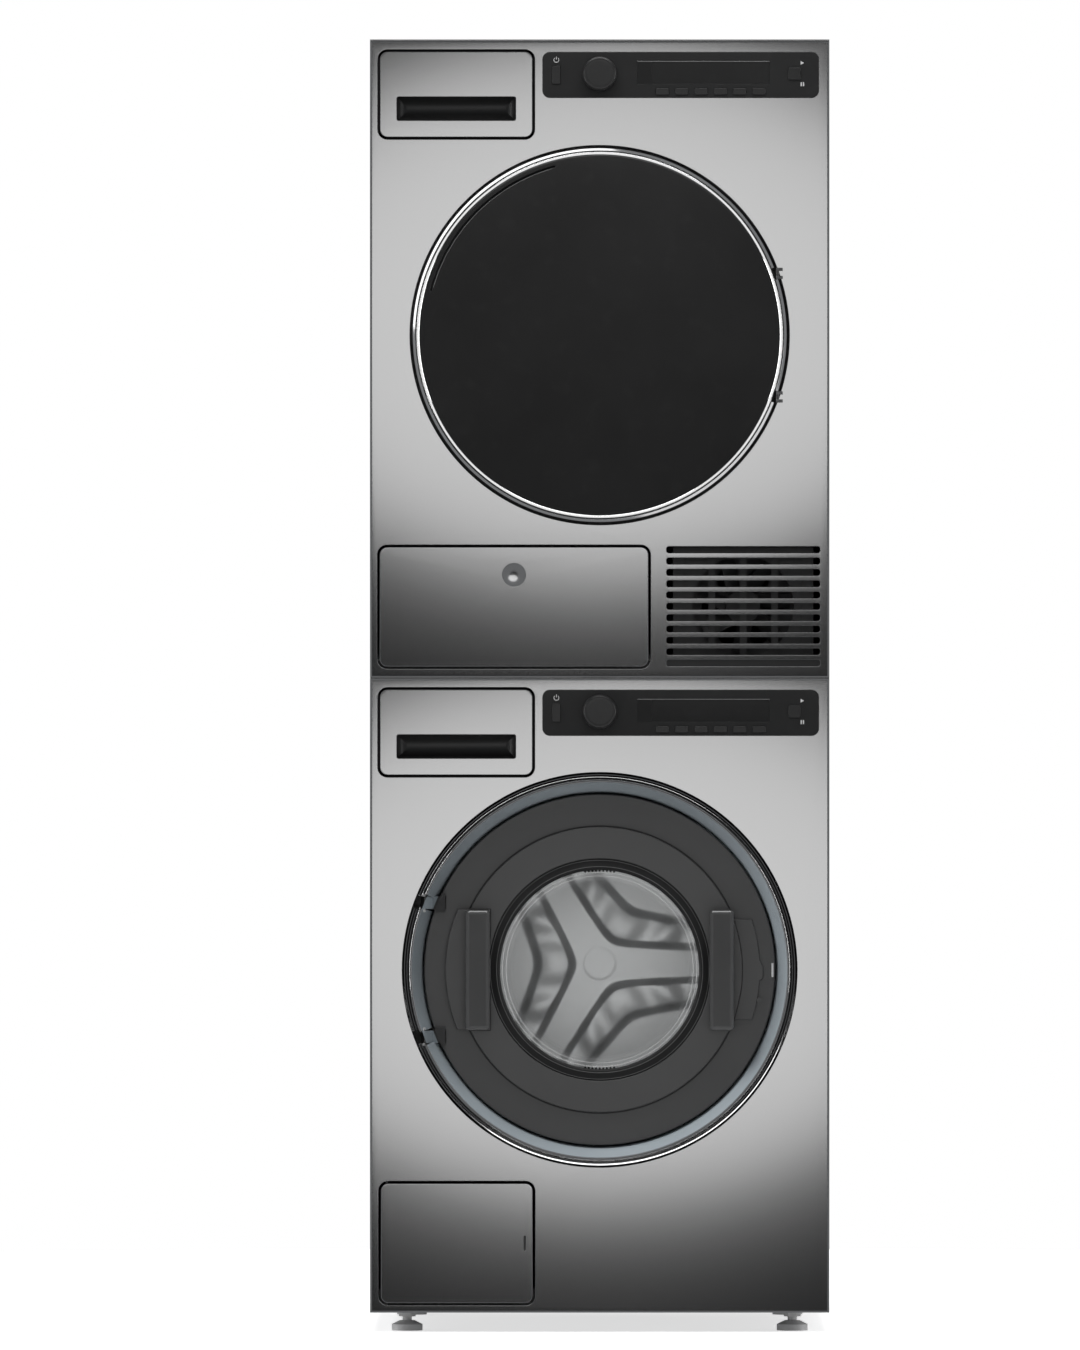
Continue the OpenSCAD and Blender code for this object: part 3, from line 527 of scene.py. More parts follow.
def door_frame():
    """The hidden door frame: its two hinge arms carry on the funnel's and the lip's finish."""
    g = Surface("door_frame_plastic")
    node = frame["nodes"]["washer_door_frame"]
    centre = node.matrix_world.inverted() @ spot(WASHER_DOOR[0], 0, WASHER_DOOR[1])
    axes = g.axes(g.coords)
    across = g.sum(axes["X"], centre.x, "SUBTRACT")
    up = g.sum(axes["Z"], centre.z, "SUBTRACT")
    squares = g.sum(g.sum(across, across, "MULTIPLY"), g.sum(up, up, "MULTIPLY"))
    reach = g.sum(squares, 0.5, "POWER")
    in_funnel = g.sum(reach, 229.8 * MM, "GREATER_THAN")
    in_lip = g.sum(reach, 243.2 * MM, "GREATER_THAN")
    dark = g.blend(g.noise(40.0, detail=3.0), grey(0.046), grey(0.050))
    ring = g.blend(in_lip, (0.20, 0.23, 0.25), grey(0.7))
    g.link(g.blend(in_funnel, dark, ring), g.shader.inputs["Base Color"])
    g.link(in_lip, g.shader.inputs["Metallic"])
    g.link(g.remap(in_lip, (0, 1), (0.4, 0.12)), g.shader.inputs["Roughness"])
    g.bump(g.noise(1600.0), 0.04, 0.1 * MM)
    return g.material


BRUSHED = (1.0, 1.0, 0.02)
STEEL = finish("brushed_steel", grey(0.60), 0.20, 1.0, 0.006, 2200.0, 0.0008, BRUSHED, 0.02, 3.0, 0.004)
SIDE_STEEL = finish("side_steel", grey(0.50), 0.42, 1.0, 0.04, 1500.0, 0.05, BRUSHED, 0.15, 3.0)
CHROME = finish("polished_chrome", grey(0.86), 0.09, 1.0, 0.02, 300.0, 0.01, wear=0.2)
ALUMINIUM = finish("cast_aluminium", grey(0.52), 0.45, 1.0, 0.08, 420.0, 0.25, wear=0.3)
ZINC = finish("zinc_plate", (0.42, 0.42, 0.40), 0.4, 1.0, 0.1, 600.0, 0.1, wear=0.4)
GALVANISED = galvanised()
DRUM_STEEL = perforated_steel()
STAINLESS = finish("stainless", grey(0.74), 0.24, 1.0, 0.05, 900.0, 0.03, wear=0.25)
STAR_STEEL = finish("pressed_drum_steel", grey(0.86), 0.40, 1.0, 0.02, 900.0, 0.01, wear=0.1)
DARK_CHROME = finish("dark_chrome", grey(0.30), 0.13, 1.0, 0.02, 300.0, 0.01, wear=0.1)
BLACK_SATIN = finish("black_satin_plastic", grey(0.016), 0.42, spread=0.12, grain=1800.0, bump=0.12)
BLACK_GLOSS = finish("black_gloss", grey(0.018), 0.16, spread=0.1, grain=200.0, bump=0.01)
KEY_BLACK = finish("key_plastic", grey(0.012), 0.36, spread=0.12, grain=2000.0, bump=0.08)
DARK_GREY = finish("dark_grey_plastic", grey(0.048), 0.4, spread=0.04, grain=1600.0, bump=0.06)
GRIP_GREY = finish("grip_plastic", grey(0.085), 0.22, spread=0.04, grain=1600.0, bump=0.02,
                   Specular_IOR_Level=1.0)
BLUE_GREY = finish("blue_grey_plastic", (0.24, 0.27, 0.29), 0.33, spread=0.05, bump=0.06)
PALE_GREY = finish("pale_plastic", grey(0.52), 0.42, spread=0.04, grain=900.0, bump=0.08)
RUBBER = finish("black_rubber", grey(0.014), 0.6, spread=0.2, grain=1300.0, bump=0.2, wear=0.5)
SEAL_GREY = finish("bellows_rubber", grey(0.16), 0.6, spread=0.1, grain=1100.0, bump=0.2)
DARK_METAL = finish("motor_paint", grey(0.05), 0.5, 0.4, 0.2, 500.0, 0.15, wear=0.5)
PRINT = finish("pale_print", grey(0.62), 0.6, spread=0.08, grain=1500.0, bump=0.05)
GLASS = clear_glass()
DOOR_FRAME = door_frame()

CAD_LOOKS = {
    GALVANISED: ("base_frames", "rear_covers", "dryer_bulkheads"),
    PALE_GREY: ("feet", "washer_tub", "detergent_tray", "water_tank"),
    SIDE_STEEL: ("side_panels", "dryer_top_cover"),
    DARK_GREY: ("rear_connections", "drain_pump", "dryer_door_inner"),
    SEAL_GREY: ("door_bellows",),
    ZINC: ("suspension",),
    DARK_METAL: ("drive_motors", "heat_pump"),
    RUBBER: ("drive_belts",),
    BLACK_SATIN: ("drawer_housings", "cooling_fan"),
    DOOR_FRAME: ("washer_door_frame",),
    DRUM_STEEL: ("washer_drum",),
    STAINLESS: ("washer_drum_lifters", "dryer_drum", "dryer_drum_lifters"),
    ALUMINIUM: ("washer_drum_pulley", "washer_motor_pulley", "dryer_motor_pulley"),
}


def paint_cad_nodes():
    """Materials for the CAD nodes: a look for each one that stays, dark grey for the others."""
    looks = {name: look for look, names in CAD_LOOKS.items() for name in names}
    for name, node in frame["nodes"].items():
        node.data.materials.clear()
        node.data.materials.append(looks.get(name, DARK_GREY))


# ---- Front panels ----

GAP = 3.1
FLAP_GAP = 3.3
CORNER = 10.0
FLAP_CORNER = 9.4
SHEET = 1.5
FOLD = 3.0
FRONT_FOLD_BACK = 20.0
PANEL_RIM = 2.0
WASHER_CUTOUT = 256.0
DRYER_CUTOUT = 246.0
SLOT_COUNT = 11
SLOT_PITCH = 14.67
SLOT_HIGH = 8.8
SLOT_MARGIN = 12.0
FACE_PROUD = -1.2

WASHER_DRAWER = Span("detergent_drawer_front")
DRYER_DRAWER = Span("tank_drawer_front")
FLAP = Span("service_flap")
HATCH = Span("dryer_hatch")
POWER = {name: Span(f"{name}_power_button") for name in MACHINES}
START = {name: Span(f"{name}_start_button") for name in MACHINES}
KNOB = {name: Span(f"{name}_knob") for name in MACHINES}
PANELS = Span("control_panels")
WINDOWS = Span("display_windows")
ROW_RISE = KNOB["dryer"].mid.z - KNOB["washer"].mid.z
CONTROL_X = grown(PANELS.x, -PANEL_RIM)
PANEL_HIGH = 60.0
ROW_HIGH = 110.5
CONTROL_TOP = {"dryer": DRYER_DRAWER.z[0] + ROW_HIGH}
CONTROL_TOP["washer"] = CONTROL_TOP["dryer"] - ROW_RISE
CONTROL_Z = {name: (top - PANEL_HIGH, top) for name, top in CONTROL_TOP.items()}
FRONT_Z = {name: (top - ROW_HIGH, top) for name, top in CONTROL_TOP.items()}
PIN_REACH = 5.5
PIN_LONG = 14.0
PIN_R = 1.5
HATCH_X = grown(HATCH.x, -PIN_REACH)
HATCH_AXIS = 8.2
FLAP_FACE_Z = grown(FLAP.z, -PIN_REACH)
COIN_SLOT = (WASHER_DRAWER.x[1] - 10.1, FLAP.mid.z)
DIMPLE = (-111.0, HATCH.z[1] - 36.0)
DIMPLE_R = 15.0
DIMPLE_SLOPE = math.radians(32)
DIMPLE_STEPS = 12
SLOTS_X = (86.4, WASHER.x[1] - SLOT_MARGIN)
SLOTS_Z = DRYER.z[0] + 92.75


def slot_outlines():
    result = []
    for i in range(SLOT_COUNT):
        z = SLOTS_Z + (i - (SLOT_COUNT - 1) / 2) * SLOT_PITCH
        result.append(rounded(SLOTS_X, (z - SLOT_HIGH / 2, z + SLOT_HIGH / 2), 3.2, 6))
    return result


def row_holes(machine):
    drawer = rounded(grown(WASHER_DRAWER.x, GAP), grown(FRONT_Z[machine], GAP), CORNER + GAP)
    panel = rounded(grown(CONTROL_X, -PANEL_RIM), grown(CONTROL_Z[machine], -PANEL_RIM), CORNER - PANEL_RIM)
    return [drawer, panel]


def build_front(machine, span, holes):
    outline = rounded(span.x, span.z, 0.8)
    bm = folded_panel(outline, holes, (0, FRONT_FOLD_BACK), FOLD, SHEET, 0.5)
    piece(f"{machine}_front_sheet", bm, STEEL, "cabinet", f"{machine}_front_panel")


def build_fronts():
    flap_hole = rounded(grown(FLAP.x, FLAP_GAP), grown(FLAP_FACE_Z, FLAP_GAP), FLAP_CORNER + FLAP_GAP)
    hatch_hole = rounded(grown(HATCH_X, GAP), grown(HATCH.z, GAP), CORNER + GAP)
    build_front("washer", WASHER, row_holes("washer") + [circle(WASHER_DOOR, WASHER_CUTOUT), flap_hole])
    build_front("dryer", DRYER,
                row_holes("dryer") + [circle(DRYER_DOOR, DRYER_CUTOUT), hatch_hole] + slot_outlines())
    lowest = SLOTS_Z - (SLOT_COUNT - 1) / 2 * SLOT_PITCH
    # A thin black sheet just behind the lowest grille slot: painted shade, so that the slot reads dark
    shade = block(bmesh.new(), grown(SLOTS_X, 1), (1.55, 1.95), (lowest - 5.4, lowest + 5.4))
    piece("dryer_lowest_slot_painted_shade", shade, BLACK_SATIN, "cabinet", "dryer_front_panel")


def build_flap():
    """The service flap: a round-edged plate with a coin slot and a folded back."""
    x, z = COIN_SLOT
    slot = rounded((x - 1.4, x + 1.4), (z - 9.5, z + 9.5), 1.3, 5)
    face = slab(rounded(FLAP.x, FLAP_FACE_Z, FLAP_CORNER), [slot], (FACE_PROUD, 0.3), 1.0, 0.4)
    piece("service_flap_face", face, STEEL, "service_flap_body", "service_flap")
    lining = slab(rounded(grown(FLAP.x, -10), grown(FLAP_FACE_Z, -6), 3), [], (0.3, 2.3), 0.3)
    for bar in (FLAP.x[0] + 4, FLAP.x[1] - 10):
        block(lining, (bar, bar + 6), (0.3, 8), grown(FLAP_FACE_Z, -4), 0.6)
    at = (FLAP.x[0] + 7.3, 3.5)
    for end in FLAP.z:
        inner = end + math.copysign(PIN_LONG, FLAP.mid.z - end)
        rod(lining, (*at, end), (*at, inner), PIN_R)
    piece("service_flap_lining", lining, DARK_GREY, "service_flap_body", "service_flap")


def build_hatch():
    """The dryer hatch with its dished finger dimple."""
    dimple = circle(DIMPLE, DIMPLE_R, 96)
    face = slab(rounded(HATCH_X, HATCH.z, CORNER), [dimple], (FACE_PROUD, 0.3), 1.0, 0.7)
    piece("hatch_face", face, STEEL, "dryer_hatch_body", "dryer_hatch")
    bowl = []
    for i in range(DIMPLE_STEPS + 1):
        t = DIMPLE_SLOPE * (1 - i / DIMPLE_STEPS)
        sunk = DIMPLE_R / math.sin(DIMPLE_SLOPE) * (math.cos(t) - math.cos(DIMPLE_SLOPE))
        bowl.append((DIMPLE_R * math.sin(t) / math.sin(DIMPLE_SLOPE), sunk - 0.4))
    bowl += [(0.0, 6.0), (DIMPLE_R, 2.6)]
    dish = turned(bowl, DIMPLE, steps=96)
    piece("hatch_dimple", dish, STEEL, "dryer_hatch_body", "dryer_hatch", sharp=50)
    lining = bmesh.new()
    low, high = HATCH.z[0] + 1, HATCH.z[1] - 4
    for bar in (HATCH_X[0] + 4, HATCH_X[1] - 8):
        block(lining, (bar, bar + 4), (0.3, 8), (low, high), 0.6)
    for bar in (low, high - 4):
        block(lining, grown(HATCH_X, -8), (0.3, 8), (bar, bar + 4), 0.6)
    at = (3.5, HATCH.z[0] + HATCH_AXIS)
    for end in HATCH.x:
        inner = end + math.copysign(PIN_LONG, HATCH.mid.x - end)
        rod(lining, (end, *at), (inner, *at), PIN_R)
    piece("hatch_lining", lining, DARK_GREY, "dryer_hatch_body", "dryer_hatch")


# ---- Drawers ----

SLOT_IN = (21.7, -21.6)
SLOT_RISE = (21.3, 52.4)
SCOOP_PATH = [(0, 0.3), (0, 5), (0.6, 9), (2.0, 13), (4.5, 17), (8.0, 20), (12.5, 21.6)]


def build_drawer(machine, node, body):
    """A drawer front: steel face, dark finger slot and the round scoop behind it."""
    z = FRONT_Z[machine]
    x = WASHER_DRAWER.x
    slot_x = (x[0] + SLOT_IN[0], x[1] + SLOT_IN[1])
    slot_z = (z[0] + SLOT_RISE[0], z[0] + SLOT_RISE[1])
    slot = rounded(slot_x, slot_z, 2.5, 5)
    face = slab(rounded(x, z, CORNER), [slot], (FACE_PROUD, 0.3), 1.0, 0.5)
    piece(f"{machine}_drawer_face", face, STEEL, body, node)
    scoop = tray(rounded(grown(slot_x, 6), grown(slot_z, 6), 3, 5), [(0, 0.3), (0, 24)],
                 rounded(slot_x, slot_z, 2.4, 5), SCOOP_PATH)
    piece(f"{machine}_drawer_scoop", scoop, BLACK_SATIN, body, node, sharp=40)


# ---- Controls ----

WINDOW_EDGE = 0.25
SHADE_SHARE = 0.11
KEY_COUNT = 6
CAP_FRONT = -2.5


def build_fascia(machine):
    """The black control insert with its holes, and the closed box behind it."""
    x, z = CONTROL_X, CONTROL_Z[machine]
    holes = [window_outline(machine, 0.2)]
    for button in button_names(machine):
        span = Span(button)
        holes.append(rounded(grown(span.x, -1.2), grown(span.z, 0.3), 1.7, 5))
    face = slab(rounded(x, z, CORNER), holes, (FACE_PROUD, 0), 0.9, 0.2)
    piece(f"{machine}_fascia", face, BLACK_SATIN, "cabinet", "control_panels")
    box = tray(rounded(grown(x, 1.9), grown(z, 1.9), 3), [(0, 1.6), (0, 36)],
               rounded(x, z, 2), [(0, 1.6), (0, 34)])
    piece(f"{machine}_control_box", box, BLACK_SATIN, "cabinet", "control_panels")


def button_names(machine):
    keys = [f"{machine}_key_{i}" for i in range(1, KEY_COUNT + 1)]
    return [f"{machine}_power_button", f"{machine}_start_button"] + keys


def window_z(machine):
    low = WINDOWS.z[0] + (ROW_RISE if machine == "dryer" else 0.0)
    return (low, low + WINDOWS.high - ROW_RISE)


def window_outline(machine, by=0.0):
    return rounded(grown(WINDOWS.x, by), grown(window_z(machine), by), 1.0, 4)


def build_window(machine):
    """The display's glass with a thin rim, a stainless strip along its upper edge as a painted highlight,
    and a darker left end.
    """
    low, top = window_z(machine)
    left, right = WINDOWS.x
    shade_x = (left + 1.2, left + SHADE_SHARE * (right - left))
    parts = (
        ("", BLACK_GLOSS, slab(window_outline(machine), [], (-0.95, 2.5), WINDOW_EDGE)),
        ("_rim", KEY_BLACK,
         slab(window_outline(machine, -0.02), [window_outline(machine, -1.0)], (-1.15, -0.9), 0.08)),
        # A thin stainless strip on the glass's top edge: a painted highlight of that edge
        ("_painted_glint", STAINLESS,
         block(bmesh.new(), (left + 0.3, right - 0.3), (-1.25, -0.9), (top - 0.9, top), 0.1)),
        ("_shade", KEY_BLACK, block(bmesh.new(), shade_x, (-1.1, -0.9), (low + 1.2, top - 1.2), 0.08)),
    )
    for ending, material, bm in parts:
        piece(f"{machine}_display{ending}", bm, material, "cabinet", "display_windows")


def build_buttons(machine):
    """Each button: the cap that shows, the wider flange that keeps it in its hole, and a stem."""
    for button in button_names(machine):
        span = Span(button)
        cap_mesh = slab(rounded(grown(span.x, -1.5), span.z, 1.4, 5), [], (CAP_FRONT, 2.7), 0.5)
        block(cap_mesh, span.x, (2.7, 4.2), grown(span.z, -0.5), 0.2)
        rod(cap_mesh, (span.mid.x, 4.2, span.mid.z), (span.mid.x, 20, span.mid.z), 2, 24)
        piece(f"{button}_cap", cap_mesh, KEY_BLACK, f"{button}_body", button)


def build_knob(machine):
    span = KNOB[machine]
    r = span.high / 2
    front = span.y[0]
    profile = softened([
        (0, front + 0.5), (r - 6, front + 0.25, 2), (r - 4.4, front, 0.6), (r - 2.2, front, 1.4),
        (r - 0.5, front + 3.0, 1.6), (r - 0.2, -4.6, 0.6), (r, -3.4, 0.6), (r, -2.2, 0.4), (4, -2.2),
        (4, 14), (0, 14)])
    dial = turned(profile, (span.mid.x, span.mid.z), steps=96)
    piece(f"{machine}_dial", dial, KEY_BLACK, f"{machine}_knob_body", f"{machine}_knob", sharp=44)


def stroke(name, lines, width, y, material, body):
    """Flat printed lines, each a list of (x, z) points and whether it closes."""
    curve = bpy.data.curves.new(name, "CURVE")
    curve.dimensions = "3D"
    curve.bevel_depth = width / 2 * MM
    curve.bevel_resolution = 2
    for points, closed in lines:
        spline = curve.splines.new("POLY")
        spline.points.add(len(points) - 1)
        for point, (x, z) in zip(spline.points, points):
            point.co = (*spot(x, y, z), 1)
        spline.use_cyclic_u = closed
    obj = placed(name, curve)
    curve.materials.append(material)
    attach(obj, body)


def build_symbols(machine):
    """Generic power, play and pause signs printed beside their buttons."""
    y = FACE_PROUD - 0.01
    power, start = POWER[machine], START[machine]
    centre = (power.mid.x, power.z[1] + 7.5)
    half_ring = arc(centre, 3.2, 130, 410, 24)
    upright = [(centre[0], centre[1] + 0.5), (centre[0], centre[1] + 4.4)]
    stroke(f"{machine}_power_sign", [(half_ring, False), (upright, False)], 0.8, y, PRINT, "cabinet")
    play_x, play_z = start.mid.x + 8.0, start.z[1] + 6.2
    play = polygon([(play_x + 4.4, play_z), (play_x, play_z + 2.5), (play_x, play_z - 2.5)])
    mesh = slab(play, [], (y, FACE_PROUD + 0.3), 0.005)
    pause_z = start.z[0] - 5.7
    for i in (0, 1):
        left = play_x + i * 2.9
        bar = (left, left + 1.5)
        block(mesh, bar, (y, FACE_PROUD + 0.3), (pause_z - 2.6, pause_z + 2.6))
    piece(f"{machine}_start_signs", mesh, PRINT, "cabinet")


# ---- Washer door ----

HINGE_RISE = 87.0
ARM_HIGH = 16.0
HINGE_AT = (-228.5, 4.0)
DISC_R = 227.5
RAISED_R = 185.0
APERTURE_R = 144.0
DISC_DEPTH = (20.0, 28.0)
RAISED_DEPTH = 14.0
BAR_X = (142.0, 174.0)
BAR_HALF = 78.0
BAR_MEETS = math.degrees(math.acos(BAR_X[0] / APERTURE_R))
NOTCH_X = -200.0
BAR_FRONT = -10.0
FOOT_HALF = 62.0
PLATE_R = (200.0, 207.8)
LAMP_X = (222.7, 225.3)
LAMP_Z = (-9.6, 8.5)
BOSS = (207.0, -39.5)

# Name, material, radius at which the hinge notches are measured, and profile
BEZEL_RINGS = (
    ("lip", CHROME, 240.0, [
        (243.2, -1.1, 0.5), (244.6, -1.5, 0.5), (246.2, -1.3, 0.8), (248, 4), (245, 4), (243.6, 0.4)]),
    ("funnel", BLUE_GREY, 240.0, [
        (243.1, -0.9, 0.5), (243.6, 0.5, 0.2), (231.8, 26.2), (231.8, 48), (168, 48), (168, 46, 0.6),
        (229.8, 46, 2.5), (229.8, 26, 2)]),
    ("groove", DARK_CHROME, 250.0, [
        (248, 4, 0.3), (249.5, 1.2, 1.5), (253, 1.4, 2.5), (256.5, 5, 0.5), (262, 5), (262, 7),
        (248, 7)]),
)


def notch_angles(radius, clear):
    """The two angles, in degrees, between which a ring is cut away for a hinge arm."""
    half = ARM_HIGH / 2 + clear
    return angle_at(HINGE_RISE - half, radius), angle_at(HINGE_RISE + half, radius)


def build_bezel():
    """Chrome lip, blue-grey funnel and dark groove around the washer door, and its hinge pins."""
    for name, material, radius, profile in BEZEL_RINGS:
        low, high = notch_angles(radius, 0.5)
        ring = turned(softened(profile), WASHER_DOOR, -180 + high, 180 - high)
        turned(softened(profile), WASHER_DOOR, 180 - low, 180 + low, bm=ring)
        piece(f"washer_bezel_{name}", ring, material, "cabinet", "washer_door_bezel")
    pins = bmesh.new()
    x = HINGE_AT[0]
    for side in (-1, 1):
        z = WASHER_DOOR[1] + side * HINGE_RISE
        rod(pins, (x, HINGE_AT[1], z - 11), (x, HINGE_AT[1], z + 11), 2)
        for end in (-1, 1):
            middle = z + end * (ARM_HIGH / 2 + 2.5)
            block(pins, (x - 6, x + 3), (4, 8), (middle - 2, middle + 2), 0.4)
    piece("washer_hinge_pins", pins, ALUMINIUM, "cabinet", "washer_door_bezel")


def at_washer(points):
    """Points around the washer door's centre."""
    return [(WASHER_DOOR[0] + x, WASHER_DOOR[1] + z) for x, z in points]


def disc_outline():
    """The door disc's outline, cut back at both hinge arms."""
    clear = 0.2
    low, high = notch_angles(DISC_R, clear)
    near, far = grown((HINGE_RISE, HINGE_RISE), ARM_HIGH / 2 + clear)
    points = arc((0, 0), DISC_R, -180 + high, 180 - high, 150)
    points += [(NOTCH_X, far), (NOTCH_X, near)]
    points += arc((0, 0), DISC_R, 180 - low, 180 + low, 20)
    points += [(NOTCH_X, -near), (NOTCH_X, -far)]
    return polygon(at_washer(points))


def left_plate_outline():
    """The left grip plate, an arc on its outside and the aperture on its inside."""
    top = angle_at(BAR_HALF, PLATE_R[0])
    points = arc((0, 0), PLATE_R[0], 180 - top, 180 + top, 28)
    points.append((-BAR_X[0], -BAR_HALF))
    points += arc((0, 0), APERTURE_R + 0.05, 180 + BAR_MEETS, 180 - BAR_MEETS, 6)
    points.append((-BAR_X[0], BAR_HALF))
    return polygon(at_washer(points))


def raised_outline():
    """The raised disc, open on its left where the grip plate sits."""
    edge = angle_at(BAR_HALF, RAISED_R)
    points = arc((0, 0), RAISED_R, -180 + edge, 180 - edge, 130)
    points.append((-BAR_X[0], BAR_HALF))
    points += arc((0, 0), APERTURE_R, 180 - BAR_MEETS, -180 + BAR_MEETS, 130)
    points.append((-BAR_X[0], -BAR_HALF))
    return polygon(at_washer(points))


def build_disc():
    base = slab(disc_outline(), [circle(WASHER_DOOR, APERTURE_R)], DISC_DEPTH, 1.6, 0.5)
    piece("washer_disc_base", base, DARK_GREY, "washer_door", "washer_door_disc")
    raised = slab(raised_outline(), [], (RAISED_DEPTH, DISC_DEPTH[0]), 1.3)
    piece("washer_disc_raised", raised, DARK_GREY, "washer_door", "washer_door_disc")
    # A thin black ring at the foot of the raised disc: painted shade of the groove round it
    profile = ring_profile((RAISED_R + 0.1, RAISED_R + 2.0), (DISC_DEPTH[0] - 0.4, DISC_DEPTH[0] + 0.3))
    piece("washer_disc_painted_shade_ring", turned(profile, WASHER_DOOR), RUBBER, "washer_door", "washer_door_disc")


def build_grip(side):
    """One upright grip: a softly bevelled bar on two feet."""
    name = "right" if side > 0 else "left"
    x = sorted(WASHER_DOOR[0] + side * edge for edge in BAR_X)
    z = WASHER_DOOR[1]
    bar = slab(rounded(x, (z - BAR_HALF, z + BAR_HALF), 5), [], (BAR_FRONT, 0), 6)
    base = RAISED_DEPTH if side > 0 else DISC_DEPTH[0] - 8
    for low, high in ((-BAR_HALF, -FOOT_HALF), (FOOT_HALF, BAR_HALF)):
        block(bar, grown(x, -4), (-0.5, base), (z + low, z + high), 1.5, 3)
    piece(f"washer_{name}_grip", bar, GRIP_GREY, "washer_door", "washer_door_handles")


def right_plate_outline():
    """The right grip plate: an arc outside, the raised disc inside, a tooth and round boss on it."""
    half = 65.0
    tip, high, low = 212.0, 13.0, -14.0
    outer = angle_at(half, PLATE_R[1])
    inner = angle_at(half, RAISED_R + 0.05)
    points = arc((0, 0), PLATE_R[1], -outer, angle_at(low, PLATE_R[1]), 12)
    points += [(tip - 3, low), (tip, low + 3), (tip, high - 10)]
    points += arc((0, 0), PLATE_R[1], angle_at(high, PLATE_R[1]), outer, 12)
    points += arc((0, 0), RAISED_R + 0.05, inner, -inner, 24)
    return polygon(at_washer(points))


def build_grip_plates():
    left = slab(left_plate_outline(), [], (12, DISC_DEPTH[0]), 1.2)
    piece("washer_left_plate", left, DARK_GREY, "washer_door", "washer_door_handles")
    right = slab(right_plate_outline(), [], (16, DISC_DEPTH[0]), 1.0)
    (boss_x, boss_z), = at_washer([BOSS])
    rod(right, (boss_x, 15.2, boss_z), (boss_x, 19.9, boss_z), 3.6)
    piece("washer_right_plate", right, DARK_GREY, "washer_door", "washer_door_handles")
    lamp_x, lamp_z = zip(*at_washer(zip(LAMP_X, LAMP_Z)))
    lamp = block(bmesh.new(), lamp_x, (19.6, 20.5), lamp_z, 0.3)
    piece("washer_lock_lamp", lamp, PRINT, "washer_door")


def build_gasket():
    """The black seal between disc and glass, with rows of small drain teeth."""
    profile = softened([
        (129, 19, 0.8), (131, 16.6, 1.5), (134, 16, 1.2), (144, 17, 0.6), (144, 28), (132, 28),
        (132, 26), (129, 26, 0.5)])
    seal = turned(profile, WASHER_DOOR)
    for side in (-1, 1):
        for i in range(-4, 5):
            x, z = on_circle(WASHER_DOOR, 128.4, math.radians(90 * side + i * 2.1))
            rod(seal, (x, 18.4, z), (x, 24, z), 1.5, 12)
    piece("washer_glass_seal", seal, RUBBER, "washer_door", "washer_door_gasket")
    # Two thin raised rings coloured lighter than the black seal: painted highlights of the seal's light
    # lines
    light_rings = turned(ring_profile((133.4, 133.9), (15.8, 16.6), 0.1), WASHER_DOOR)
    turned(ring_profile((141.6, 142.1), (16.4, 17.2), 0.1), WASHER_DOOR, bm=light_rings)
    piece("washer_seal_painted_light_rings", light_rings, SEAL_GREY, "washer_door", "washer_door_gasket")


def build_glass():
    """The bowl: a rim, deep walls and a flat, softly domed end, with two thin stainless rings inside it as
    painted reflections of the glass's edges.
    """
    bowl = softened([
        (127, 26, 0.6), (132, 26, 0.8), (131.4, 40), (130, 70, 6), (120, 90, 6), (112, 94, 3),
        (60, 94), (0, 94), (0, 89), (60, 89), (110, 89, 3), (116, 86.4, 5), (125, 68, 6), (126.6, 40)], 4)
    piece("washer_glass_bowl", turned(bowl, WASHER_DOOR), GLASS, "washer_door", "washer_door_glass")
    # Two thin stainless rings inside the bowl: painted reflections of the glass's edges
    steps = bmesh.new()
    for radius, depth in ((126.3, 30.0), (121.6, 34.0)):
        turned(ring_profile((radius - 0.45, radius), (depth, depth + 0.4), 0.1), WASHER_DOOR, bm=steps)
    piece("washer_glass_painted_reflections", steps, STAINLESS, "washer_door", "washer_door_glass")


# ---- Washer drum ----

DRUM = Span("washer_drum")
DRUM_R = DRUM.high / 2
MOUTH_R = 160.0
DRUM_WALL = 1.2
STAR_TURNS = (60.0, 180.0, 300.0)
STAR_NEAR = 30.0
STAR_FAR = 88.0
NEAR_LEAN = 0.53
FAR_LEAN = 0.37
STAR_BEND = 13.0
STAR_WALL = 12.0
STAR_HIGH = 3.8
STAR_CROWN = 3.2
STAR_END = 216.0
PILLOW = 46.0
HUB_R = 20.0
RAMP_END = 0.2
HUB_HIGH = 0.3
BACK_STEP = 1.8
BACK_TURNS = 300


def smooth(value):
    t = min(max(value, 0.0), 1.0)
    return t * t * (3 - 2 * t)


def ramp(value):
    """A straight slope from 0 to 1 with softened ends."""
    t = min(max(value, 0.0), 1.0)
    if t < RAMP_END:
        return t * t / (2 * RAMP_END * (1 - RAMP_END))
    if t > 1 - RAMP_END:
        return 1 - (1 - t) ** 2 / (2 * RAMP_END * (1 - RAMP_END))
    return (t - RAMP_END / 2) / (1 - RAMP_END)


def star_height(x, z):
    """Height of the three V-shaped ribs pressed into the drum's back."""
    reach = math.hypot(x, z)
    height = 0.0
    for turn in STAR_TURNS:
        t = math.radians(turn)
        along = x * math.cos(t) + z * math.sin(t)
        across = math.hypot(-x * math.sin(t) + z * math.cos(t), STAR_BEND) - STAR_BEND
        near = along - STAR_NEAR - NEAR_LEAN * across
        far = STAR_FAR + FAR_LEAN * across - along
        if near <= 0 or far <= 0:
            continue
        flank = ramp(near / STAR_WALL) * ramp(far / STAR_WALL)
        crown = 4 * near * far / (near + far) ** 2
        pillow = 0.6 + 0.4 * math.cos(2 * math.pi * across / PILLOW)
        height = max(height, flank * (STAR_HIGH + STAR_CROWN * crown * pillow))
    hub = 1.0 - smooth((reach - HUB_R) / 1.6)
    return height * smooth((STAR_END - reach) / 30) + HUB_HIGH * hub


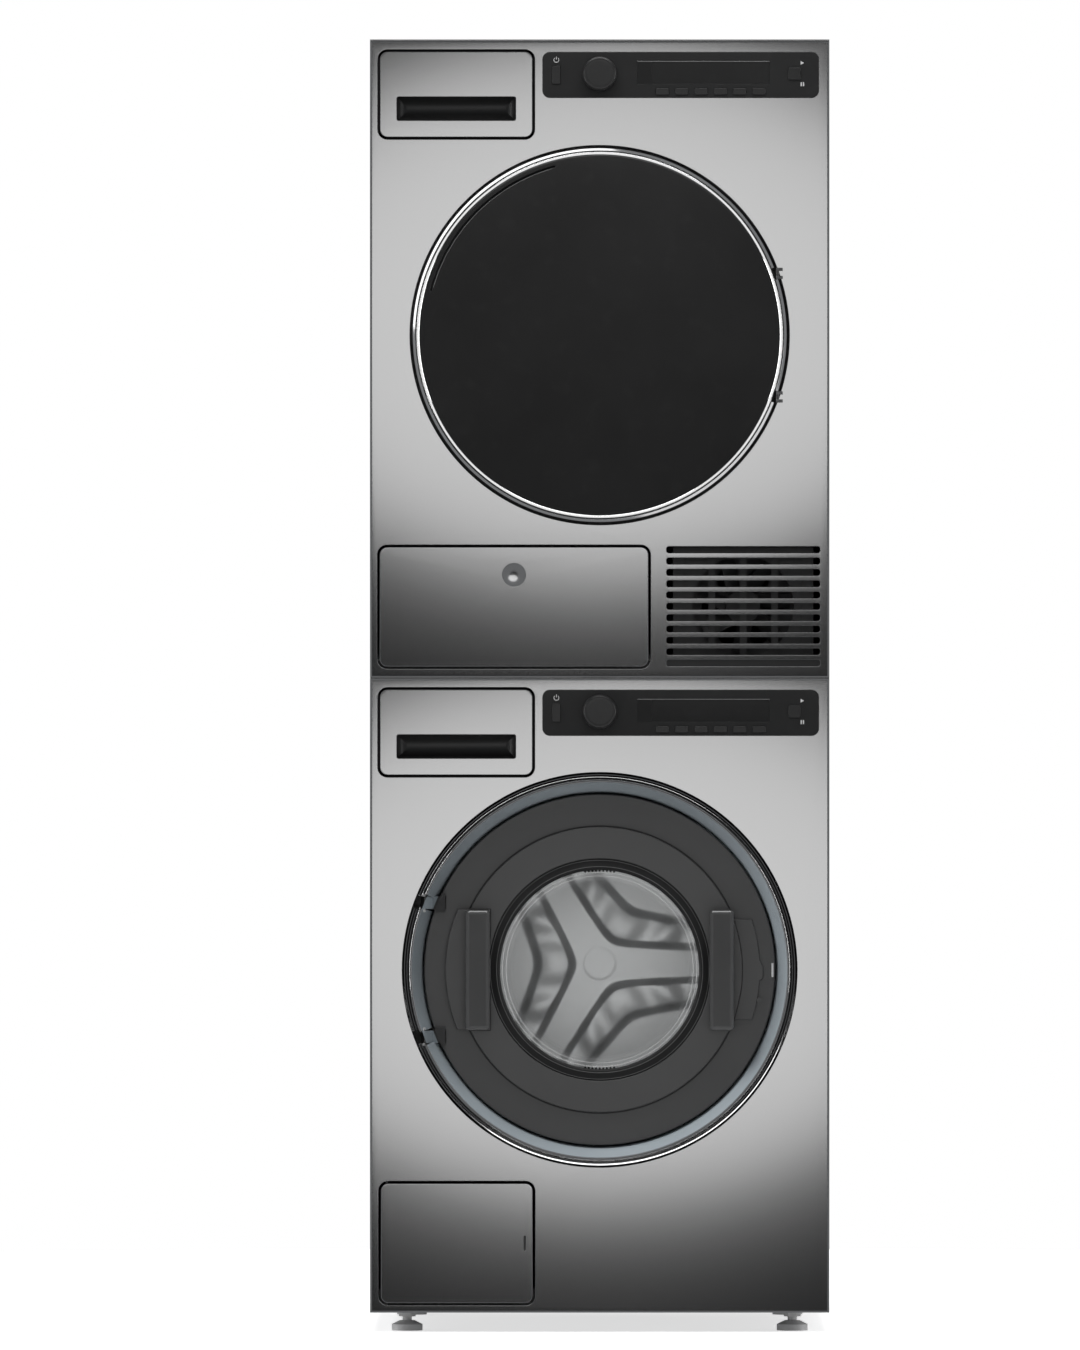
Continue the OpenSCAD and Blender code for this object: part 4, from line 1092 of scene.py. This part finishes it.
def build_drum():
    """The drum: a perforated wall with a rolled mouth, and a back pressed into a star."""
    near, far = DRUM.y
    shell = softened([
        (MOUTH_R, near + 3, 0.8), (MOUTH_R + 2, near, 1.4), (DRUM_R, near, 7), (DRUM_R, far, 5),
        (DRUM_R - 8, far), (DRUM_R - 8, far - DRUM_WALL), (DRUM_R - DRUM_WALL, far - DRUM_WALL, 4),
        (DRUM_R - DRUM_WALL, near + DRUM_WALL, 6), (MOUTH_R + 2.4, near + 1.6, 1)])
    piece("washer_drum_shell", turned(shell, WASHER_DOOR), DRUM_STEEL, "washer_drum_body", "washer_drum")
    bm = bmesh.new()
    base = far - DRUM_WALL - 0.2
    hub = bm.verts.new(spot(WASHER_DOOR[0], base - star_height(0, 0), WASHER_DOOR[1]))
    rings = []
    count = int((DRUM_R - 8) / BACK_STEP)
    for k in range(1, count + 1):
        r = (DRUM_R - 7) * k / count
        ring = []
        for i in range(BACK_TURNS):
            x, z = on_circle((0, 0), r, 2 * math.pi * i / BACK_TURNS)
            place = spot(WASHER_DOOR[0] + x, base - star_height(x, z), WASHER_DOOR[1] + z)
            ring.append(bm.verts.new(place))
        rings.append(ring)
    for i in range(BACK_TURNS):
        bm.faces.new((hub, rings[0][i], rings[0][(i + 1) % BACK_TURNS]))
    for first, second in zip(rings, rings[1:]):
        bridge(bm, first, second)
    back = piece("washer_drum_back", bm, STAR_STEEL, "washer_drum_body", "washer_drum", sharp=80)
    back.modifiers.remove(back.modifiers["face_normals"])


# ---- Dryer door ----

RING_R = DRYER_RING.high / 2
FACE_R = 233.6
GRIP_R = (224.5, 227.5)
GRIP_TURN = (105.0, 165.0)
RING_HINGE_RISE = 80.0
RING_HINGE_HALF = 7.5
DOOR_STEPS = 240


def build_dryer_face():
    """The black door face with its long curved finger slot."""
    middle = sum(GRIP_R) / 2
    half = (GRIP_R[1] - GRIP_R[0]) / 2
    ends = []
    for turn, start in ((GRIP_TURN[1], GRIP_TURN[1]), (GRIP_TURN[0], GRIP_TURN[0] + 180)):
        centre = on_circle((0, 0), middle, math.radians(turn))
        ends.append(arc(centre, half, start, start + 180, 8))
    corners = arc((0, 0), GRIP_R[1], *GRIP_TURN, 48) + ends[0]
    corners += arc((0, 0), GRIP_R[0], GRIP_TURN[1], GRIP_TURN[0], 48) + ends[1]
    tidy = [p for i, p in enumerate(corners) if (Vector(p) - Vector(corners[i - 1])).length > 0.05]
    places = [(DRYER_DOOR[0] + x, DRYER_DOOR[1] + z) for x, z in tidy]
    rim = circle(DRYER_DOOR, FACE_R - 0.25, DOOR_STEPS)
    face = slab(rim, [polygon(places)], (-3.5, 2), 1.1, 0.35)
    piece("dryer_door_glass_face", face, BLACK_GLOSS, "dryer_door", "dryer_door_face")
    # A thin lighter grey strip along the slot's inner edge: a painted highlight of the slot's bevel
    edge = turned(ring_profile((GRIP_R[0] - 0.7, GRIP_R[0]), (-3.8, -3.3), 0.1), DRYER_DOOR,
                  GRIP_TURN[0] + 1, GRIP_TURN[1] - 1, 60)
    piece("dryer_grip_painted_highlight", edge, GRIP_GREY, "dryer_door", "dryer_door_face")


def build_dryer_ring():
    """Two polished bands with a dark groove between them, the outer one open at the hinges."""
    inner = softened([
        (233.6, -3.4, 0.3), (234.2, -4, 0.4), (236.9, -4, 0.7), (237.6, -3.0, 0.3), (237.6, 4),
        (233.6, 4)], 5)
    band = turned(inner, DRYER_DOOR, steps=DOOR_STEPS)
    piece("dryer_ring_inner", band, CHROME, "dryer_door", "dryer_door_ring")
    outer = softened([(238.6, -3.4, 0.2), (239.0, -4, 0.3), (242, -2.7, 0.3), (242, 4), (238.6, 4)], 5)
    low = angle_at(RING_HINGE_RISE - RING_HINGE_HALF, RING_R)
    high = angle_at(RING_HINGE_RISE + RING_HINGE_HALF, RING_R)
    band = turned(outer, DRYER_DOOR, high, 360 - high, DOOR_STEPS)
    turned(outer, DRYER_DOOR, -low, low, DOOR_STEPS, band)
    piece("dryer_ring_outer", band, CHROME, "dryer_door", "dryer_door_ring")
    groove = turned(ring_profile((237.6, 238.6), (-2.4, 4)), DRYER_DOOR, steps=DOOR_STEPS)
    piece("dryer_ring_groove", groove, RUBBER, "dryer_door", "dryer_door_ring")


# ---- Studio ----

FRAME_HIGH = 1748.2
CAMERA_AWAY = 20000.0
CAMERA_RISE = 850.9
SENSOR = 36.0
SIDE_SHIFT = -0.0442
FLOOR_R = 2600.0
LIGHT_AWAY = 1100.0
LIGHT_RISE = {"dryer": 502.0, "washer": 478.0}
FRONT_LIGHT_SIZE = (1020.0, 740.0)
PANEL_LIGHT_SIZE = (900.0, 500.0)
CARD_AWAY = 500.0
CARD_RISE = 120.0
FRONT_POWER = 1.82
PANEL_POWER = 0.32
FRONT_CONE = (-0.985, -0.90)
SURROUND = (0.004, 0.20)


def place_camera():
    """Straight on and far off, through a long lens."""
    data = bpy.data.cameras.new("camera")
    data.sensor_fit = "VERTICAL"
    data.sensor_height = SENSOR
    data.lens = SENSOR * CAMERA_AWAY / FRAME_HIGH
    data.shift_x = SIDE_SHIFT
    data.clip_end = 100.0
    camera = placed("camera", data)
    camera.location = spot(MIDDLE, -CAMERA_AWAY, CAMERA_RISE)
    camera.rotation_euler = (math.radians(90), 0, 0)
    bpy.context.scene.camera = camera


def softbox(name, place, target, size, power, lit):
    """A rectangular lamp facing a target, which lights only the objects in lit."""
    data = bpy.data.lights.new(name, "AREA")
    data.shape = "RECTANGLE"
    data.size, data.size_y = (side * MM for side in size)
    data.energy = power
    lamp = placed(name, data)
    lamp.location = spot(*place)
    heading = spot(*target) - spot(*place)
    lamp.rotation_euler = heading.to_track_quat("-Z", "Y").to_euler()
    lamp.visible_camera = False
    group = bpy.data.collections.new(f"{name}_lit")
    for obj in lit:
        group.objects.link(obj)
    lamp.light_linking.receiver_collection = group
    return lamp


def light_world():
    """White behind the object, and for what it reflects a grey surround, dark straight ahead."""
    world = bpy.data.worlds.new("studio")
    bpy.context.scene.world = world
    g = Graph(world)
    surround = g.tree.nodes["Background"]
    put(surround, Color=(0.95, 0.97, 1.0, 1))
    heading = g.axes(g.add("ShaderNodeTexCoord").outputs["Generated"])
    g.link(g.remap(heading["Y"], FRONT_CONE, SURROUND), surround.inputs["Strength"])
    backdrop = g.add("ShaderNodeBackground", Color=(1, 1, 1, 1))
    seen = g.add("ShaderNodeLightPath").outputs["Is Camera Ray"]
    g.mix_shaders(seen, surround.outputs["Background"], backdrop.outputs["Background"], "World Output")


def lay_floor():
    """A plain pale floor that fades into the backdrop."""
    bm = bmesh.new()
    bmesh.ops.create_circle(bm, cap_ends=True, segments=96, radius=FLOOR_R * MM)
    floor = mesh_object("floor", bm)
    g = Surface("pale_floor")
    tone = g.blend(g.noise(3.0), grey(0.86), grey(0.9))
    g.link(tone, g.shader.inputs["Base Color"])
    put(g.shader, Roughness=0.9, Specular_IOR_Level=0.1)
    g.link(tone, g.shader.inputs["Emission Color"])
    seen = g.add("ShaderNodeLightPath").outputs["Is Camera Ray"]
    g.link(g.remap(seen, (0, 1), (0.22, 0.7)), g.shader.inputs["Emission Strength"])
    floor.data.materials.append(g.material)
    floor.visible_glossy = False


def shown(*starts):
    """Every shown piece whose name begins with one of the given words."""
    result = []
    for obj in bpy.context.scene.objects:
        if obj.type in ("MESH", "CURVE") and not obj.hide_render and obj.name.startswith(starts):
            result.append(obj)
    return result


def without(objects, starts):
    """The objects whose name begins with none of the given words."""
    return [obj for obj in objects if not obj.name.startswith(starts)]


def before(centre, right=0, away=0, up=0):
    """A place in front of a centre (x, z)."""
    return (centre[0] + right, -away, centre[1] + up)


# Beginnings of names, for the lamps that light some pieces only
PANEL_FACES = {name: (f"{name}_display", f"{name}_fascia") for name in MACHINES}
DOOR_FACE = ("dryer_door_glass_face",)
FRONT_STEEL = ("washer_front_sheet", "dryer_front_sheet", "washer_drawer_face", "dryer_drawer_face",
               "service_flap_face", "hatch_face", "hatch_dimple")
DRYER_BAND = ("dryer_ring_outer",)
GROOVE = ("washer_bezel_groove",)
WASHER_LIP = ("washer_bezel_lip",) + GROOVE
FUNNEL = ("washer_bezel_funnel",)
DRUM_BACK = ("washer_drum_back",)
GRIPS = ("washer_left_grip", "washer_right_grip")
BULKHEADS = ("dryer_bulkheads",)
UNLIT = ("washer_glass_seal", "dryer_door_inner", "washer_door_frame") + FUNNEL + GRIPS + BULKHEADS
MACHINE_WORDS = {
    "dryer": ("dryer", "hatch", "cooling", "heat", "water_tank", "tank"),
    "washer": ("washer", "service", "detergent", "door_bellows", "drain", "suspension"),
}

# Name, place, target, size, power and what is lit: a soft fall of light down the dryer's black
# face, two bright sides on its outer band, a bright foot on the ring around the washer's lip,
# and light for the washer's funnel and for the back of its drum
CARDS = (
    ("dryer_face_card", (MIDDLE, -CARD_AWAY, DRYER.z[1] + CARD_RISE), (MIDDLE, 0, DRYER.mid.z),
     PANEL_LIGHT_SIZE, 3.4, DOOR_FACE),
    ("dryer_band_upper_left", before(DRYER_DOOR, -900, LIGHT_AWAY, 900), before(DRYER_DOOR),
     (1900, 1900), 15.0, DRYER_BAND),
    ("dryer_band_lower_right", before(DRYER_DOOR, 900, LIGHT_AWAY, -900), before(DRYER_DOOR),
     (1200, 1200), 2.4, DRYER_BAND),
    ("washer_lip_card", (350, -620, 30), (350, -600, 1000), (1300, 1000), 25.0, GROOVE),
    ("funnel_card", before(WASHER_DOOR, -600, 350, 900), before(WASHER_DOOR), (600, 600), 18.0, FUNNEL),
    ("drum_card", before(WASHER_DOOR, -120, 900, 100), before(WASHER_DOOR), (500, 500), 0.25, DRUM_BACK),
)

# Name, place, target, size, power and what is not lit, for the lamps that leave the steel out
TOP = START_BOUNDS[1].z / MM
CENTRE_Y = -FRONT / MM
CENTRE = (0.0, CENTRE_Y, 850.0)
ROOM_LAMPS = (
    ("overhead", (MIDDLE, -288, TOP + 1600), (MIDDLE, CENTRE_Y, TOP - 300), (2400, 2000), 60, WASHER_LIP),
    ("left_side", (-2600, -88, 1200), CENTRE, (1400, 2200), 45, GRIPS + FUNNEL),
    ("right_side", (2600, -88, 1200), CENTRE, (1400, 2200), 38, GRIPS + FUNNEL),
    ("behind", (500, 3112, 1400), CENTRE, (2000, 2000), 20, ()),
)


def light_machine(name, span):
    """The near lamp in front of one machine, which gives its steel a bright middle and dark foot."""
    apart = PANEL_FACES[name] + DOOR_FACE + DRYER_BAND + WASHER_LIP + UNLIT
    z = span.z[0] + LIGHT_RISE[name]
    lamp = softbox(f"{name}_front_light", (MIDDLE, -LIGHT_AWAY, z), (MIDDLE, 0, z),
                   FRONT_LIGHT_SIZE, FRONT_POWER, without(shown(*MACHINE_WORDS[name]), apart))
    lamp.data.shape = "ELLIPSE"
    softbox(f"{name}_panel_light", (MIDDLE, -CARD_AWAY, span.z[1] + CARD_RISE), (MIDDLE, 0, span.mid.z),
            PANEL_LIGHT_SIZE, PANEL_POWER, shown(*PANEL_FACES[name]))


def set_lights():
    """The near lamps, the cards and the room lamps, which all light their own pieces."""
    light_world()
    light_machine("dryer", DRYER)
    light_machine("washer", WASHER)
    for name, place, target, size, power, lit in CARDS:
        softbox(name, place, target, size, power, shown(*lit))
    rest = without(shown(""), FRONT_STEEL + DRYER_BAND + BULKHEADS)
    for name, place, target, size, power, unlit in ROOM_LAMPS:
        softbox(name, place, target, size, power, without(rest, unlit))
    bpy.context.scene.view_settings.view_transform = "Standard"


# ---- Build ----

place_camera()
paint_cad_nodes()
build_fronts()
build_flap()
build_hatch()
build_drawer("washer", "detergent_drawer_front", "detergent_drawer")
build_drawer("dryer", "tank_drawer_front", "tank_drawer")
for machine in MACHINES:
    build_fascia(machine)
    build_window(machine)
    build_buttons(machine)
    build_knob(machine)
    build_symbols(machine)
build_bezel()
build_disc()
build_grip(-1)
build_grip(1)
build_grip_plates()
build_gasket()
build_glass()
build_drum()
build_dryer_face()
build_dryer_ring()
lay_floor()
set_lights()
